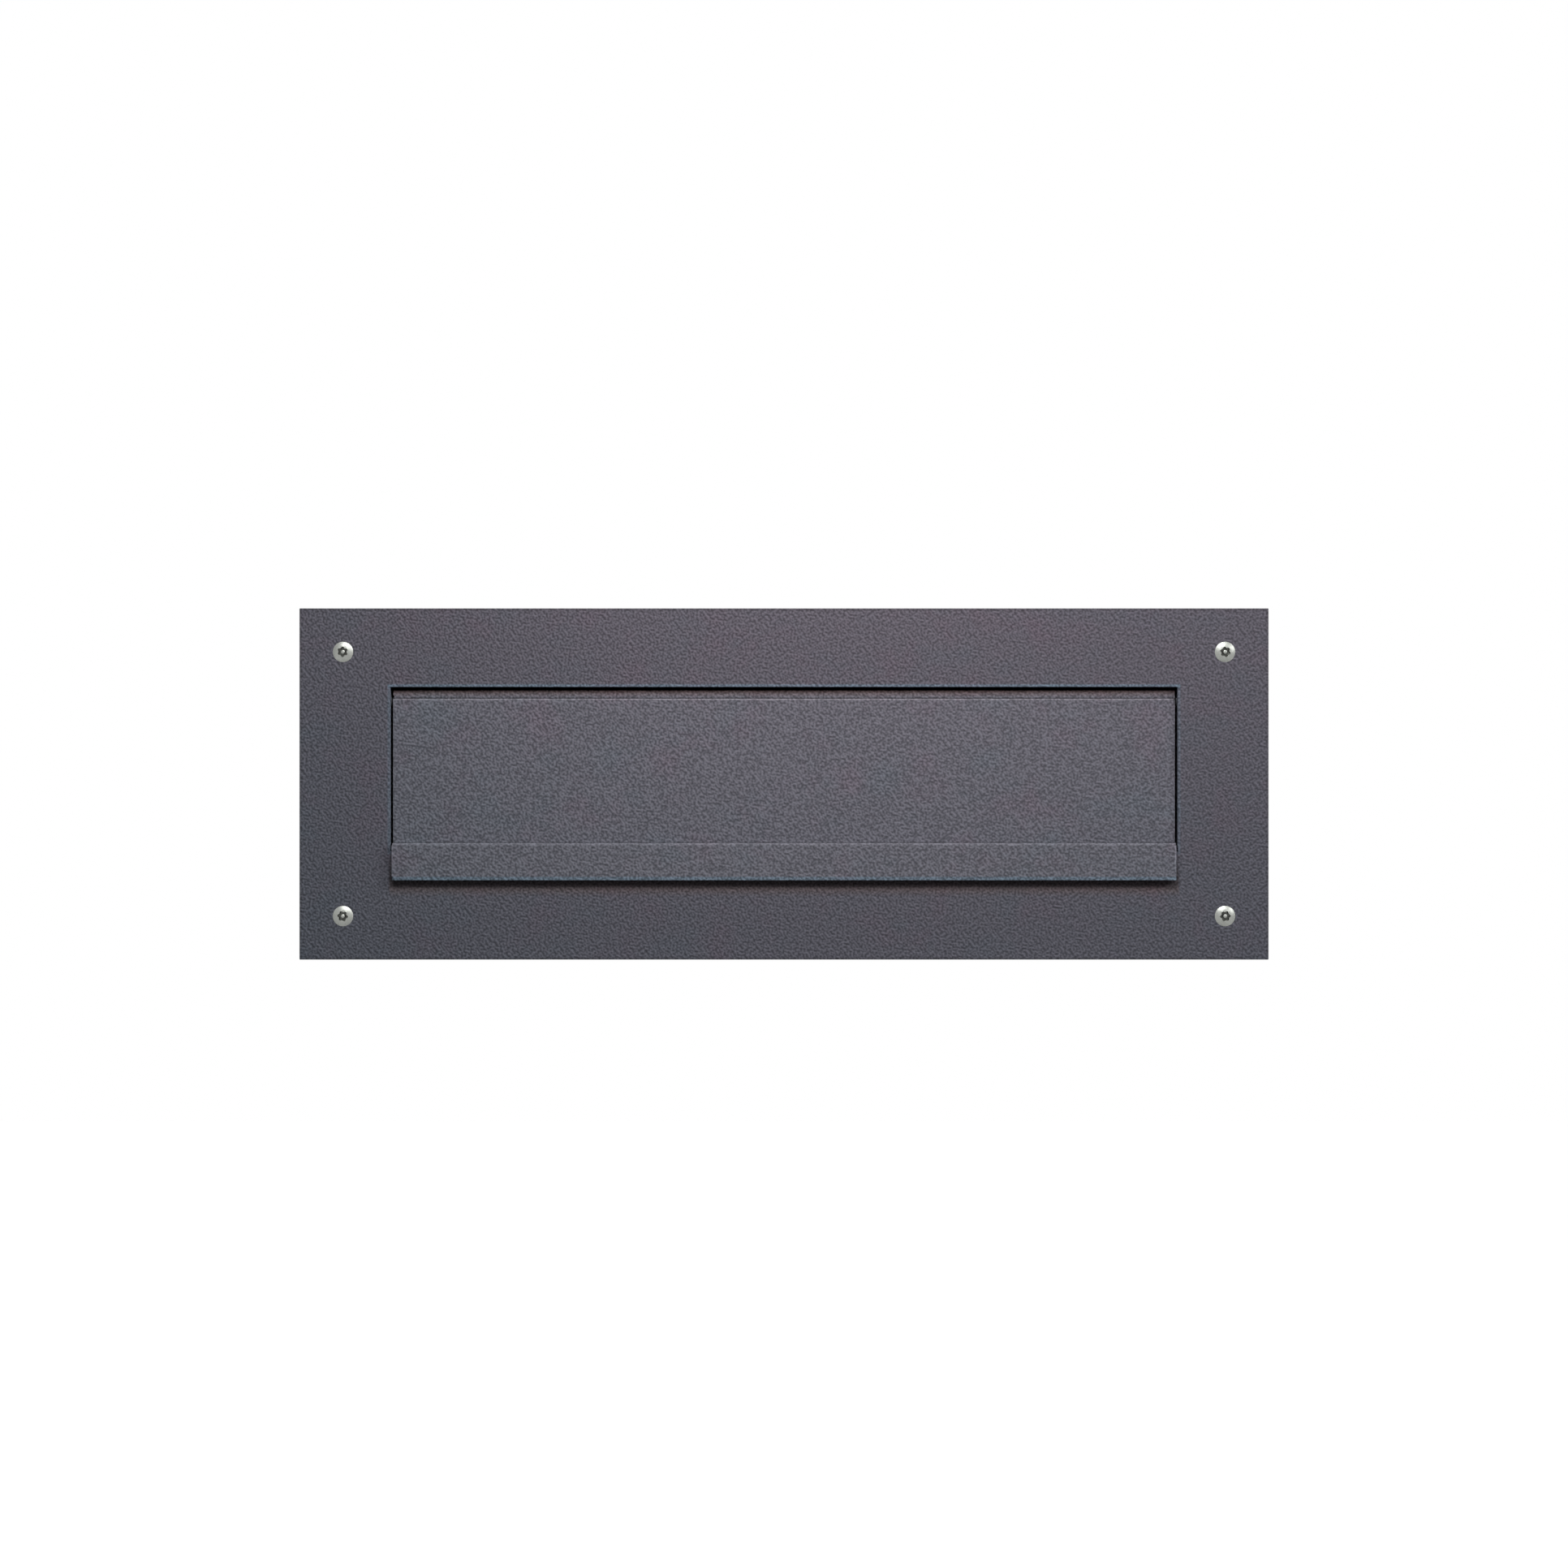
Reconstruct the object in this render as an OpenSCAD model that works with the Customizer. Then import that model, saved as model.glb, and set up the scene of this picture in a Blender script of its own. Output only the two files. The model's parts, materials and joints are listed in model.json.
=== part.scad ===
// Letterbox set through a wall. A street plate with a letter flap covers the front, a sheet steel box
// lines the wall behind it, and a locking door on the room side gives out the mail.
// X runs along the plate, Y runs into the wall from its street face at Y = 0, and Z runs up.

/* [Front plate] */
// Width of the plate on each side of the letter opening
plate_side = 37.5; // [36.5:0.5:60]
// Height of the front plate
plate_h = 145; // [138:1:180]
// Thickness of the front plate
plate_t = 3; // [2:0.5:4]
// Width of the letter opening
slot_w = 325; // [230:1:400]
// Height of the letter opening
slot_h = 68; // [60:1:74]
// Height of the opening's middle above the plate's middle
slot_rise = 6; // [2:1:8]

/* [Plate screws] */
// Distance from a screw to the nearest two edges of the plate
screw_inset = 18; // [17:0.5:20]
// Thread diameter of the plate screws
screw_d = 4; // [3:1:5]
// Head diameter of the plate screws
screw_head_d = 8.4; // [7.5:0.1:9.4]
// Height of the screw's raised head above the plate
screw_dome = 1.2; // [0.8:0.1:1.6]
// Length of the screw behind the plate's face
screw_length = 10; // [9:1:14]
// Tip to tip width of the six-lobed socket
socket_d = 3.9; // [3:0.1:4.5]
// Diameter of the security pin in the socket
socket_pin_d = 1.2; // [0.8:0.1:1.4]

/* [Wall gasket] */
// Thickness of the foam between the plate and the wall
gasket_t = 2; // [2:0.5:4]
// How far the foam stays back from the plate's edge
gasket_inset = 0.5; // [0:0.5:1]

/* [Letter flap] */
// Gap between the flap and each side of the opening
flap_side_gap = 1; // [0.8:0.1:1.5]
// Gap between the flap's top and the opening's upper edge
flap_top_gap = 1.2; // [1:0.1:2]
// Thickness of the flap's profile
flap_t = 1.8; // [1.5:0.1:2]
// How far the flap's face lies behind the plate's face
flap_inset = 1.2; // [1:0.1:1.6]
// Height of the lip at the bottom of the flap
lip_h = 15.2; // [13:0.1:20]
// How far the lip covers the plate below the opening
lip_cover = 11.6; // [9:0.1:14]
// How far the lip stands in front of the flap's face
lip_step = 4; // [4:0.1:6]
// Height of the set-back band along the flap's top
band_h = 3.5; // [2:0.1:4]
// How far that band lies behind the flap's face
band_inset = 1; // [0.6:0.1:1.2]
// Diameter of the rubber bumpers behind the lip
bumper_d = 8; // [6:1:9]
// Distance from a bumper to the flap's end
bumper_inset = 22; // [12:1:60]

/* [Flap hinge] */
// Diameter of the hinge rod
rod_d = 3; // [2.5:0.1:3.2]
// Wall of the tube along the flap that turns on the rod
tube_wall = 1.45; // [1.2:0.05:1.6]
// Depth of the rod's axis behind the flap's face
axis_depth = 5.2; // [5:0.1:5.4]
// Depth of the rod's axis below the opening's upper edge
axis_drop = 5.6; // [5.4:0.1:6]
// Distance from the opening's side edge to the hinge bracket beside it
ear_offset = 1.7; // [1.6:0.1:3]
// Thickness of the two hinge brackets
bracket_t = 1.5; // [1:0.1:2]
// Width of a bracket's foot along the plate
foot_w = 11; // [10:0.5:12]
// Height of a bracket's foot
foot_h = 21; // [19:1:26]
// Distance between the two studs of a bracket
stud_pitch = 11; // [10:0.5:13]
// Thread diameter of the studs
stud_d = 3; // [2.5:0.1:3]
// Length of the studs behind the plate
stud_length = 6; // [5.5:0.5:8]

/* [Flap springs] */
// Wire diameter of the torsion springs
wire_d = 0.8; // [0.6:0.05:0.8]
// Whole turns in each spring
spring_turns = 5; // [3:1:6]
// Length of each spring's straight legs
leg_length = 9.4; // [8:0.2:12]

/* [Box in the wall] */
// Thickness of the wall that the box is made for
wall_depth = 240; // [235:5:400]
// How far the plate reaches past the box on every side
plate_cover = 7; // [6:0.5:8]
// Sheet thickness of the box
sheet_t = 1; // [0.8:0.1:1.5]
// Sheet thickness of the frames at both ends
frame_t = 1.5; // [1:0.1:2]
// Height of the frames' upper and lower rims
frame_rim = 15; // [14:0.5:16]
// Gap between the frames' side rims and the feet of the hinge brackets
bracket_gap = 2.8; // [1:0.1:4]
// Width of the flanges that carry the roof
roof_flange = 14; // [10:1:20]
// Rivets along each side of the roof
rivet_count = 4; // [2:1:6]
// Diameter of the rivets
rivet_d = 3.2; // [2.4:0.2:4]
// Diameter of the wall fixing holes in the box's sides
fixing_d = 6.5; // [4:0.5:8]
// Distance between the two wall fixing holes of a side
fixing_pitch = 100; // [60:5:160]

/* [Room side] */
// Width of the trim on the room face of the wall
trim_w = 13; // [12:0.5:25]
// Width of the door's overlap on its frame
door_overlap = 10; // [9:0.5:11]
// Depth of the door's folded edge
door_depth = 12; // [10:0.5:16]
// Sheet thickness of the door
door_t = 1.2; // [1:0.1:1.5]
// Width of the door's foam seal
seal_w = 6; // [4:0.5:7]
// Thickness of the door's foam seal
seal_t = 1; // [0.8:0.1:2]

/* [Door hinges] */
// Diameter of the hinge barrels
barrel_d = 6; // [5.4:0.2:6.4]
// Diameter of the hinge pins
pin_d = 3; // [2:0.1:3.4]
// Height of each hinge
hinge_h = 30; // [24:1:36]
// Height of each hinge's middle above and below the door's middle
hinge_offset = 38; // [30:1:42]
// Width of the leaf on the trim
leaf_w = 8; // [6:0.5:9]
// Thickness of the leaves
leaf_t = 1.2; // [0.8:0.1:1.4]

/* [Lock] */
// Distance from the lock's axis to the frame's inner edge
lock_inset = 20; // [18:0.5:26]
// Diameter of the lock's barrel
lock_d = 15.8; // [15:0.1:17]
// Width across the barrel's two flats
lock_flats = 13.3; // [12.5:0.1:14]
// Diameter of the plug that the key turns
plug_d = 11; // [9:0.1:11.4]
// Diameter of the lock's flange
lock_flange_d = 19; // [18.4:0.2:24]
// Thickness of the lock's flange
lock_flange_t = 2; // [1.8:0.1:3]
// Width across the flats of the lock's nut
lock_nut_af = 19; // [18:0.5:22]
// Length of the cam from the lock's axis to its tip
cam_length = 28; // [26:0.5:30]
// Width of the cam
cam_w = 14; // [10:0.5:16]
// Thickness of the cam
cam_t = 2.5; // [2:0.1:3]
// Side of the plug's square tail
tail_w = 7; // [6:0.1:7.4]
// Diameter of the cam screw
cam_screw_d = 4; // [3:0.5:4]

/* [Key] */
// Thickness of the key
key_t = 2; // [1.6:0.1:2.2]
// Width of the key's blade
key_w = 7; // [6:0.1:8]
// Diameter of the key's round bow
bow_d = 22; // [18:1:26]

/* [Clearances] */
// Gap around a pin or rod that a piece turns on
run_gap = 0.05; // [0.02:0.01:0.08]
// Gap around a screw, stud or rivet in its hole
thread_gap = 0.05; // [0.03:0.01:0.08]
// Gap between pieces that slide past each other
slide_gap = 0.2; // [0.15:0.05:0.3]
// Gap around a screw or stud in a plain hole
hole_gap = 0.25; // [0.15:0.05:0.3]
// Gap around a rod or pin that is pressed home
press_gap = 0.02; // [0.01:0.01:0.04]

/* [Hidden] */
$fn = 64;
past = 1; // how far a cut runs past the face that it opens

// Finishes
anthracite = [0.32, 0.31, 0.34];
stainless = [0.78, 0.78, 0.8];
galvanised = [0.66, 0.68, 0.7];
foam = [0.1, 0.1, 0.11];
spring_steel = [0.55, 0.56, 0.6];

// Plate and opening
plate_w = slot_w + 2 * plate_side;
plate_rear = -gasket_t;
plate_face = plate_rear - plate_t;
slot_top = slot_rise + slot_h / 2;
slot_foot = slot_rise - slot_h / 2;
screw_x = plate_w / 2 - screw_inset;
screw_z = plate_h / 2 - screw_inset;
head_slope = (screw_head_d - screw_d) / 2;
SCREW_PLACES = [for (x = [-screw_x, screw_x], z = [-screw_z, screw_z]) [x, z]];

// Flap
flap_end = slot_w / 2 - flap_side_gap;
flap_face = plate_face + flap_inset;
flap_rear = flap_face + flap_t;
flap_top = slot_top - flap_top_gap;
flap_foot = slot_foot - lip_cover;
lip_face = flap_face - lip_step;
lip_rear = lip_face + flap_t;
step_z = flap_foot + lip_h;
band_face = flap_face + band_inset;
band_t = 1.2;
edge_round = 0.6;

// Flap hinge
axis_y = flap_face + axis_depth;
axis_z = slot_top - axis_drop;
rod_r = rod_d / 2;
tube_r = rod_r + run_gap + tube_wall;
coil_r = rod_r + 0.3 + wire_d / 2; // radius of the wire's middle line around the rod
coil_pitch = wire_d + 0.05;
port_r = 1.3;
port_y = flap_rear + 0.9;
port_z = axis_z - leg_length;
leave_angle = atan2(port_z - axis_z, port_y - axis_y)
  + acos(coil_r / norm([port_y - axis_y, port_z - axis_z]));
coil_sweep = 180 + 360 * spring_turns - leave_angle;
ear_x = slot_w / 2 + ear_offset;
coil_end = ear_x - wire_d;
coil_start = coil_end - coil_pitch * coil_sweep / 360;
ear_r = rod_r + 2.5;
clip_t = 0.8;
clip_r = rod_r + 1.5;
clip_x = ear_x + bracket_t + slide_gap;
rod_end = clip_x + clip_t + 0.7;
foot_top = axis_z - clip_r - 1.4;
stud_x = ear_x + foot_w - 4;
stud_mid = foot_top - foot_h / 2;
stud_nut_h = 0.8 * stud_d;
STUD_PLACES = [for (x = [-stud_x, stud_x], z = [-stud_pitch / 2, stud_pitch / 2]) [x, stud_mid + z]];

// Box
box_w = plate_w - 2 * plate_cover;
box_h = plate_h - 2 * plate_cover;
frame_rear = plate_rear + frame_t;
frame_open_w = 2 * (ear_x + foot_w + bracket_gap);
frame_open_h = box_h - 2 * frame_rim;
weld_nut_h = 0.8 * screw_d;
box_end = wall_depth + frame_t;
rivet_x = box_w / 2 - sheet_t - roof_flange / 2;
rivet_spacing = (wall_depth - 60) / (rivet_count - 1);
RIVET_PLACES = [for (x = [-rivet_x, rivet_x], i = [0:rivet_count - 1]) [x, 30 + i * rivet_spacing]];

// Door
door_w = frame_open_w + 2 * door_overlap;
door_h = frame_open_h + 2 * door_overlap;
door_front = box_end + seal_t;
door_face = door_front + door_depth;
seal_mid = door_overlap / 2;

// Door hinges
barrel_r = barrel_d / 2;
pin_r = pin_d / 2;
door_axis_x = -door_w / 2 - barrel_r - slide_gap;
door_axis_y = box_end + barrel_r + slide_gap;
knuckle_h = hinge_h / 3;
pin_head_r = pin_r + 1;
pin_head_h = 1.2;

// Lock
lock_x = frame_open_w / 2 - lock_inset;
lock_r = lock_d / 2;
cam_rear = wall_depth - slide_gap;
cam_front = cam_rear - cam_t;
barrel_end = cam_rear + slide_gap;
flange_face = door_face + lock_flange_t;
plug_r = plug_d / 2;
plug_head_r = plug_r + 1.4;
plug_head_t = 1.5;
plug_face = flange_face + slide_gap;
tail_end = cam_front - slide_gap;
lock_nut_h = 3;
key_slot_floor = barrel_end + 1.5;
key_tip = key_slot_floor + 0.5;
key_shoulder = plug_face + 0.5;
bow_y = key_shoulder + 2 + bow_d / 2;

// An X-Y-Z block given by its lowest and highest corners
module block(low, high) {
  translate(low) cube(high - low);
}

// A rectangular ring in the X-Z plane from depth y0 to depth y1
module ring(outer_w, outer_h, inner_w, inner_h, y0, y1) {
  difference() {
    block([-outer_w / 2, y0, -outer_h / 2], [outer_w / 2, y1, outer_h / 2]);
    block([-inner_w / 2, y0 - past, -inner_h / 2], [inner_w / 2, y1 + past, inner_h / 2]);
  }
}

// A round bar along Y from y0 to y1 at the point [x, z]
module bar_y(r, y0, y1, place) {
  translate([place.x, y0, place.y]) rotate([-90, 0, 0]) cylinder(r = r, h = y1 - y0);
}

// A round bar along X from x0 to x1 at the point [y, z]
module bar_x(r, x0, x1, place) {
  translate([x0, place.x, place.y]) rotate([0, 90, 0]) cylinder(r = r, h = x1 - x0);
}

// A hexagonal nut along Y from y0 to y1 at the point [x, z]
module hex_nut(across_flats, hole_r, y0, y1, place) {
  difference() {
    translate([place.x, y0, place.y]) rotate([-90, 0, 0])
      cylinder(r = across_flats / 2 / cos(30), h = y1 - y0, $fn = 6);
    bar_y(hole_r, y0 - past, y1 + past, place);
  }
}

function unit(v) = v / norm(v);

// Points of one corner of an outline, rounded to radius r between its two neighbours
function fillet(before, corner, after, r, steps = 5) =
  r == 0 ? [corner] :
  let (
    u = unit(before - corner),
    v = unit(after - corner),
    half = acos(u * v) / 2,
    centre = corner + unit(u + v) * r / sin(half),
    first = corner + u * r / tan(half) - centre,
    last = corner + v * r / tan(half) - centre,
    start = atan2(first.y, first.x),
    turn = atan2(last.y, last.x) - start,
    sweep = turn > 180 ? turn - 360 : turn < -180 ? turn + 360 : turn
  ) [for (i = [0:steps]) centre + r * [cos(start + sweep * i / steps), sin(start + sweep * i / steps)]];

// An outline given by its corners, each as [u, v, radius]
function outline(corners) =
  let (n = len(corners), points = [for (c = corners) [c.x, c.y]])
  [for (i = [0:n - 1]) each fillet(points[(i + n - 1) % n], points[i], points[(i + 1) % n], corners[i].z)];

// Stands a shape drawn in [y, z] up along X, from -half_length to half_length
module along_x(half_length) {
  translate([-half_length, 0, 0]) rotate([90, 0, 90]) linear_extrude(2 * half_length) children();
}

module front_plate() {
  color(anthracite) difference() {
    block([-plate_w / 2, plate_face, -plate_h / 2], [plate_w / 2, plate_rear, plate_h / 2]);
    block([-slot_w / 2, plate_face - past, slot_foot], [slot_w / 2, plate_rear + past, slot_top]);
    for (place = SCREW_PLACES) {
      bar_y(screw_d / 2 + hole_gap, plate_face - past, plate_rear + past, place);
      translate([place.x, plate_face, place.y]) rotate([-90, 0, 0])
        cylinder(r1 = screw_head_d / 2 + thread_gap, r2 = screw_d / 2 + thread_gap, h = head_slope);
    }
  }
}

module screw() {
  dome_r = (pow(screw_head_d / 2, 2) + pow(screw_dome, 2)) / (2 * screw_dome);
  dome_angle = asin(screw_head_d / 2 / dome_r);
  lobe_r = 0.11 * socket_d;
  socket_depth = screw_dome + 0.8;
  difference() {
    rotate_extrude() polygon(concat(
      [[0, screw_length], [screw_d / 2, screw_length], [screw_d / 2, head_slope]],
      [for (i = [0:6]) let (a = dome_angle * (1 - i / 6))
        [dome_r * sin(a), dome_r - screw_dome - dome_r * cos(a)]]
    ));
    translate([0, 0, -screw_dome - past]) linear_extrude(socket_depth + past) difference() {
      union() {
        circle(r = 0.37 * socket_d);
        for (i = [0:5]) rotate(60 * i) translate([socket_d / 2 - lobe_r, 0]) circle(r = lobe_r, $fn = 24);
      }
      circle(d = socket_pin_d);
    }
  }
}

module plate_screws() {
  color(stainless) for (place = SCREW_PLACES)
    translate([place.x, plate_face, place.y]) rotate([-90, 0, 0]) screw();
}

module wall_gasket() {
  gap = 0.5;
  color(foam) ring(plate_w - 2 * gasket_inset, plate_h - 2 * gasket_inset,
    box_w + 2 * gap, box_h + 2 * gap, plate_rear, 0);
}

// The flap's sheet from the lip's foot up to the band along its top
module flap_sheet_outline() {
  web_foot = step_z - flap_t;
  web_top = flap_top - band_h;
  band_rear = band_face + band_t;
  tip_round = flap_t / 2 - 0.1;
  polygon(outline([
    [lip_rear, flap_foot, tip_round],
    [lip_face, flap_foot, tip_round],
    [lip_face, step_z, edge_round],
    [flap_face, step_z, 0],
    [flap_face, web_top, edge_round],
    [band_face, web_top, 0],
    [band_face, flap_top, 2 * edge_round],
    [axis_y, flap_top, band_t / 4],
    [axis_y, flap_top - band_t, band_t / 4],
    [band_rear, flap_top - band_t, 0],
    [band_rear, web_top - flap_t, 0],
    [flap_rear, web_top - flap_t, 0],
    [flap_rear, web_foot, edge_round],
    [lip_rear, web_foot, 0]
  ]));
}

// The tube that turns on the rod, the neck that joins it to the sheet, and the port for the springs
module flap_tube_outline() {
  neck_h = 2 * rod_r;
  difference() {
    union() {
      translate([band_face + band_t / 2, axis_z - neck_h / 2])
        square([axis_y - band_face - band_t / 2, flap_top - band_t / 2 - axis_z + neck_h / 2]);
      translate([axis_y, axis_z]) circle(r = tube_r);
      translate([port_y, port_z]) circle(r = port_r);
    }
    translate([axis_y, axis_z]) circle(r = rod_r + run_gap);
    translate([port_y, port_z]) circle(r = wire_d / 2 + 0.15);
  }
}

module letter_flap() {
  color(anthracite) {
    along_x(flap_end) flap_sheet_outline();
    along_x(coil_start - coil_pitch) flap_tube_outline();
  }
}

module flap_bumpers() {
  color(foam) for (side = [-1, 1])
    bar_y(bumper_d / 2, lip_rear, plate_face, [side * (flap_end - bumper_inset), slot_foot - lip_cover / 2]);
}

module hinge_rod() {
  color(stainless) bar_x(rod_r, -rod_end, rod_end, [axis_y, axis_z]);
}

module right_bracket_shape() {
  difference() {
    union() {
      block([ear_x, plate_rear, foot_top - foot_h], [ear_x + foot_w, plate_rear + bracket_t, foot_top]);
      block([ear_x, plate_rear, foot_top - foot_h], [ear_x + bracket_t, axis_y + ear_r, axis_z]);
      bar_x(ear_r, ear_x, ear_x + bracket_t, [axis_y, axis_z]);
    }
    bar_x(rod_r + run_gap, ear_x - past, ear_x + bracket_t + past, [axis_y, axis_z]);
    block([ear_x - past, plate_rear - ear_r, axis_z - ear_r],
      [ear_x + bracket_t + past, plate_rear, axis_z + ear_r]);
    for (z = [-stud_pitch / 2, stud_pitch / 2])
      bar_y(stud_d / 2 + hole_gap, plate_rear - past, plate_rear + bracket_t + past, [stud_x, stud_mid + z]);
  }
}

module right_hinge_bracket() {
  color(galvanised) right_bracket_shape();
}

module left_hinge_bracket() {
  color(galvanised) mirror([1, 0, 0]) right_bracket_shape();
}

module bracket_studs() {
  color(galvanised) for (place = STUD_PLACES)
    bar_y(stud_d / 2, plate_rear, plate_rear + stud_length, place);
}

module bracket_nuts() {
  nut_y = plate_rear + bracket_t;
  color(galvanised) for (place = STUD_PLACES)
    hex_nut(1.8 * stud_d, stud_d / 2 + thread_gap, nut_y, nut_y + stud_nut_h, place);
}

module rod_clips() {
  color(spring_steel) for (side = [-1, 1]) {
    x0 = side > 0 ? clip_x : -clip_x - clip_t;
    difference() {
      bar_x(clip_r, x0, x0 + clip_t, [axis_y, axis_z]);
      bar_x(rod_r + press_gap, x0 - past, x0 + clip_t + past, [axis_y, axis_z]);
    }
  }
}

// The right spring's wire: one leg on the plate, the coil around the rod, one leg into the flap's port
function spring_path() =
  let (
    leg_tip_y = plate_rear + wire_d / 2 + 0.05,
    leg_y = port_y,
    steps = ceil(coil_sweep / 20)
  ) concat(
    [[coil_end, leg_tip_y, axis_z - leg_length]],
    [for (i = [0:steps]) let (a = 180 - coil_sweep * i / steps)
      [coil_end - (coil_end - coil_start) * i / steps, axis_y + coil_r * cos(a), axis_z + coil_r * sin(a)]],
    [[coil_start, leg_y, port_z], [coil_start - 3, leg_y, port_z]]
  );

module swept_wire(points, r) {
  last = len(points) - 1;
  sides = 8;
  along = [for (i = [0:last]) unit(points[min(i + 1, last)] - points[max(i - 1, 0)])];
  leg_side = unit(cross(points[last - 1] - points[last - 2], [1, 0, 0]));
  across = [for (i = [0:last]) i > last - 2 ? leg_side : unit(cross(along[i], [1, 0, 0]))];
  rings = [for (i = [0:last], k = [0:sides - 1]) let (a = 360 * k / sides)
    points[i] + r * (cos(a) * across[i] + sin(a) * cross(along[i], across[i]))];
  polyhedron(rings, concat(
    [[for (k = [0:sides - 1]) sides - 1 - k]],
    [for (i = [0:last - 1], k = [0:sides - 1]) let (n = (k + 1) % sides)
      each [[i * sides + k, i * sides + n, (i + 1) * sides + n],
        [i * sides + k, (i + 1) * sides + n, (i + 1) * sides + k]]],
    [[for (k = [0:sides - 1]) last * sides + k]]
  ));
}

module right_flap_spring() {
  color(spring_steel) swept_wire(spring_path(), wire_d / 2);
}

module left_flap_spring() {
  color(spring_steel) mirror([1, 0, 0]) swept_wire(spring_path(), wire_d / 2);
}

module front_frame() {
  color(galvanised) difference() {
    ring(box_w, box_h, frame_open_w, frame_open_h, plate_rear, frame_rear);
    for (place = SCREW_PLACES) bar_y(screw_d / 2 + hole_gap, plate_rear - past, frame_rear + past, place);
  }
}

module weld_nuts() {
  color(galvanised) for (place = SCREW_PLACES)
    hex_nut(1.75 * screw_d, screw_d / 2 + thread_gap, frame_rear, frame_rear + weld_nut_h, place);
}

module box_body() {
  flange_z = box_h / 2 - sheet_t;
  color(galvanised) difference() {
    union() {
      block([-box_w / 2, frame_rear, -box_h / 2], [box_w / 2, box_end, -box_h / 2 + sheet_t]);
      for (side = [-1, 1]) {
        outer = side * box_w / 2;
        inner = side * (box_w / 2 - sheet_t);
        tip = side * (box_w / 2 - sheet_t - roof_flange);
        block([min(inner, outer), frame_rear, -box_h / 2], [max(inner, outer), box_end, flange_z]);
        block([min(tip, outer), frame_rear, flange_z - sheet_t], [max(tip, outer), wall_depth, flange_z]);
      }
    }
    for (y = [-fixing_pitch / 2, fixing_pitch / 2])
      bar_x(fixing_d / 2, -box_w / 2 - past, box_w / 2 + past, [wall_depth / 2 + y, 0]);
    for (place = RIVET_PLACES)
      translate([place.x, place.y, flange_z - sheet_t - past])
        cylinder(r = rivet_d / 2 + thread_gap, h = sheet_t + 2 * past);
  }
}

module box_roof() {
  color(galvanised) difference() {
    block([-box_w / 2, frame_rear, box_h / 2 - sheet_t], [box_w / 2, box_end, box_h / 2]);
    for (place = RIVET_PLACES)
      translate([place.x, place.y, box_h / 2 - sheet_t - past])
        cylinder(r = rivet_d / 2 + thread_gap, h = sheet_t + 2 * past);
  }
}

module rivet() {
  grip = 2 * sheet_t;
  rotate_extrude() polygon([
    [0, 0.3 * rivet_d], [0.55 * rivet_d, 0.25 * rivet_d], [rivet_d, 0], [rivet_d / 2, 0],
    [rivet_d / 2, -grip], [0.65 * rivet_d, -grip], [0.7 * rivet_d, -grip - 0.4 * rivet_d],
    [0.4 * rivet_d, -grip - 0.6 * rivet_d], [0, -grip - 0.6 * rivet_d]
  ]);
}

module roof_rivets() {
  color(stainless) for (place = RIVET_PLACES) translate([place.x, place.y, box_h / 2]) rivet();
}

module rear_trim() {
  color(anthracite)
    ring(box_w + 2 * trim_w, box_h + 2 * trim_w, box_w + slide_gap, box_h + slide_gap,
      wall_depth, box_end);
}

module door_frame() {
  color(galvanised) ring(box_w - 2 * sheet_t, box_h - 2 * sheet_t, frame_open_w, frame_open_h,
    wall_depth, box_end);
}

module door_seal() {
  color(foam) ring(frame_open_w + 2 * seal_mid + seal_w, frame_open_h + 2 * seal_mid + seal_w,
    frame_open_w + 2 * seal_mid - seal_w, frame_open_h + 2 * seal_mid - seal_w, box_end, door_front);
}

// The lock's hole and barrel share this shape: a round bar with two flats
module flatted_bar(r, flats, y0, y1) {
  intersection() {
    bar_y(r, y0, y1, [lock_x, 0]);
    block([lock_x - r - past, y0, -flats / 2], [lock_x + r + past, y1, flats / 2]);
  }
}

module removal_door() {
  color(anthracite) difference() {
    block([-door_w / 2, door_front, -door_h / 2], [door_w / 2, door_face, door_h / 2]);
    block([-door_w / 2 + door_t, door_front + door_t, -door_h / 2 + door_t],
      [door_w / 2 - door_t, door_face - door_t, door_h / 2 - door_t]);
    block([-frame_open_w / 2, door_front - past, -frame_open_h / 2],
      [frame_open_w / 2, door_front + door_t + past, frame_open_h / 2]);
    flatted_bar(lock_r + thread_gap, lock_flats + 2 * thread_gap,
      door_face - door_t - past, door_face + past);
  }
}

// One third of a hinge's height, counted upward from its foot, less a running gap at each end
module knuckle(third, bore_r) {
  z0 = -hinge_h / 2 + third * knuckle_h + slide_gap / 2;
  difference() {
    union() {
      translate([door_axis_x, door_axis_y, z0]) cylinder(r = barrel_r, h = knuckle_h - slide_gap);
      children();
    }
    translate([door_axis_x, door_axis_y, -hinge_h / 2 - past]) cylinder(r = bore_r, h = hinge_h + 2 * past);
  }
}

module hinge_trim_leaves() {
  leaf_edge = door_axis_x - barrel_r - 2 * slide_gap;
  color(stainless) for (side = [-1, 1]) translate([0, 0, side * hinge_offset]) {
    for (third = [0, 2]) knuckle(third, pin_r + press_gap)
      block([leaf_edge, box_end, -hinge_h / 2 + third * knuckle_h + slide_gap / 2],
        [door_axis_x, box_end + leaf_t, -hinge_h / 2 + (third + 1) * knuckle_h - slide_gap / 2]);
    block([leaf_edge - leaf_w, box_end, -hinge_h / 2], [leaf_edge, box_end + leaf_t, hinge_h / 2]);
  }
}

module hinge_door_leaves() {
  leaf_edge = door_axis_y + barrel_r + 2 * slide_gap;
  door_side = -door_w / 2;
  color(stainless) for (side = [-1, 1]) translate([0, 0, side * hinge_offset]) {
    knuckle(1, pin_r + run_gap)
      block([door_side - leaf_t, door_axis_y, -knuckle_h / 2 + slide_gap / 2],
        [door_side, leaf_edge, knuckle_h / 2 - slide_gap / 2]);
    block([door_side - leaf_t, leaf_edge, -hinge_h / 2], [door_side, door_face - door_t, hinge_h / 2]);
  }
}

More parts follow.
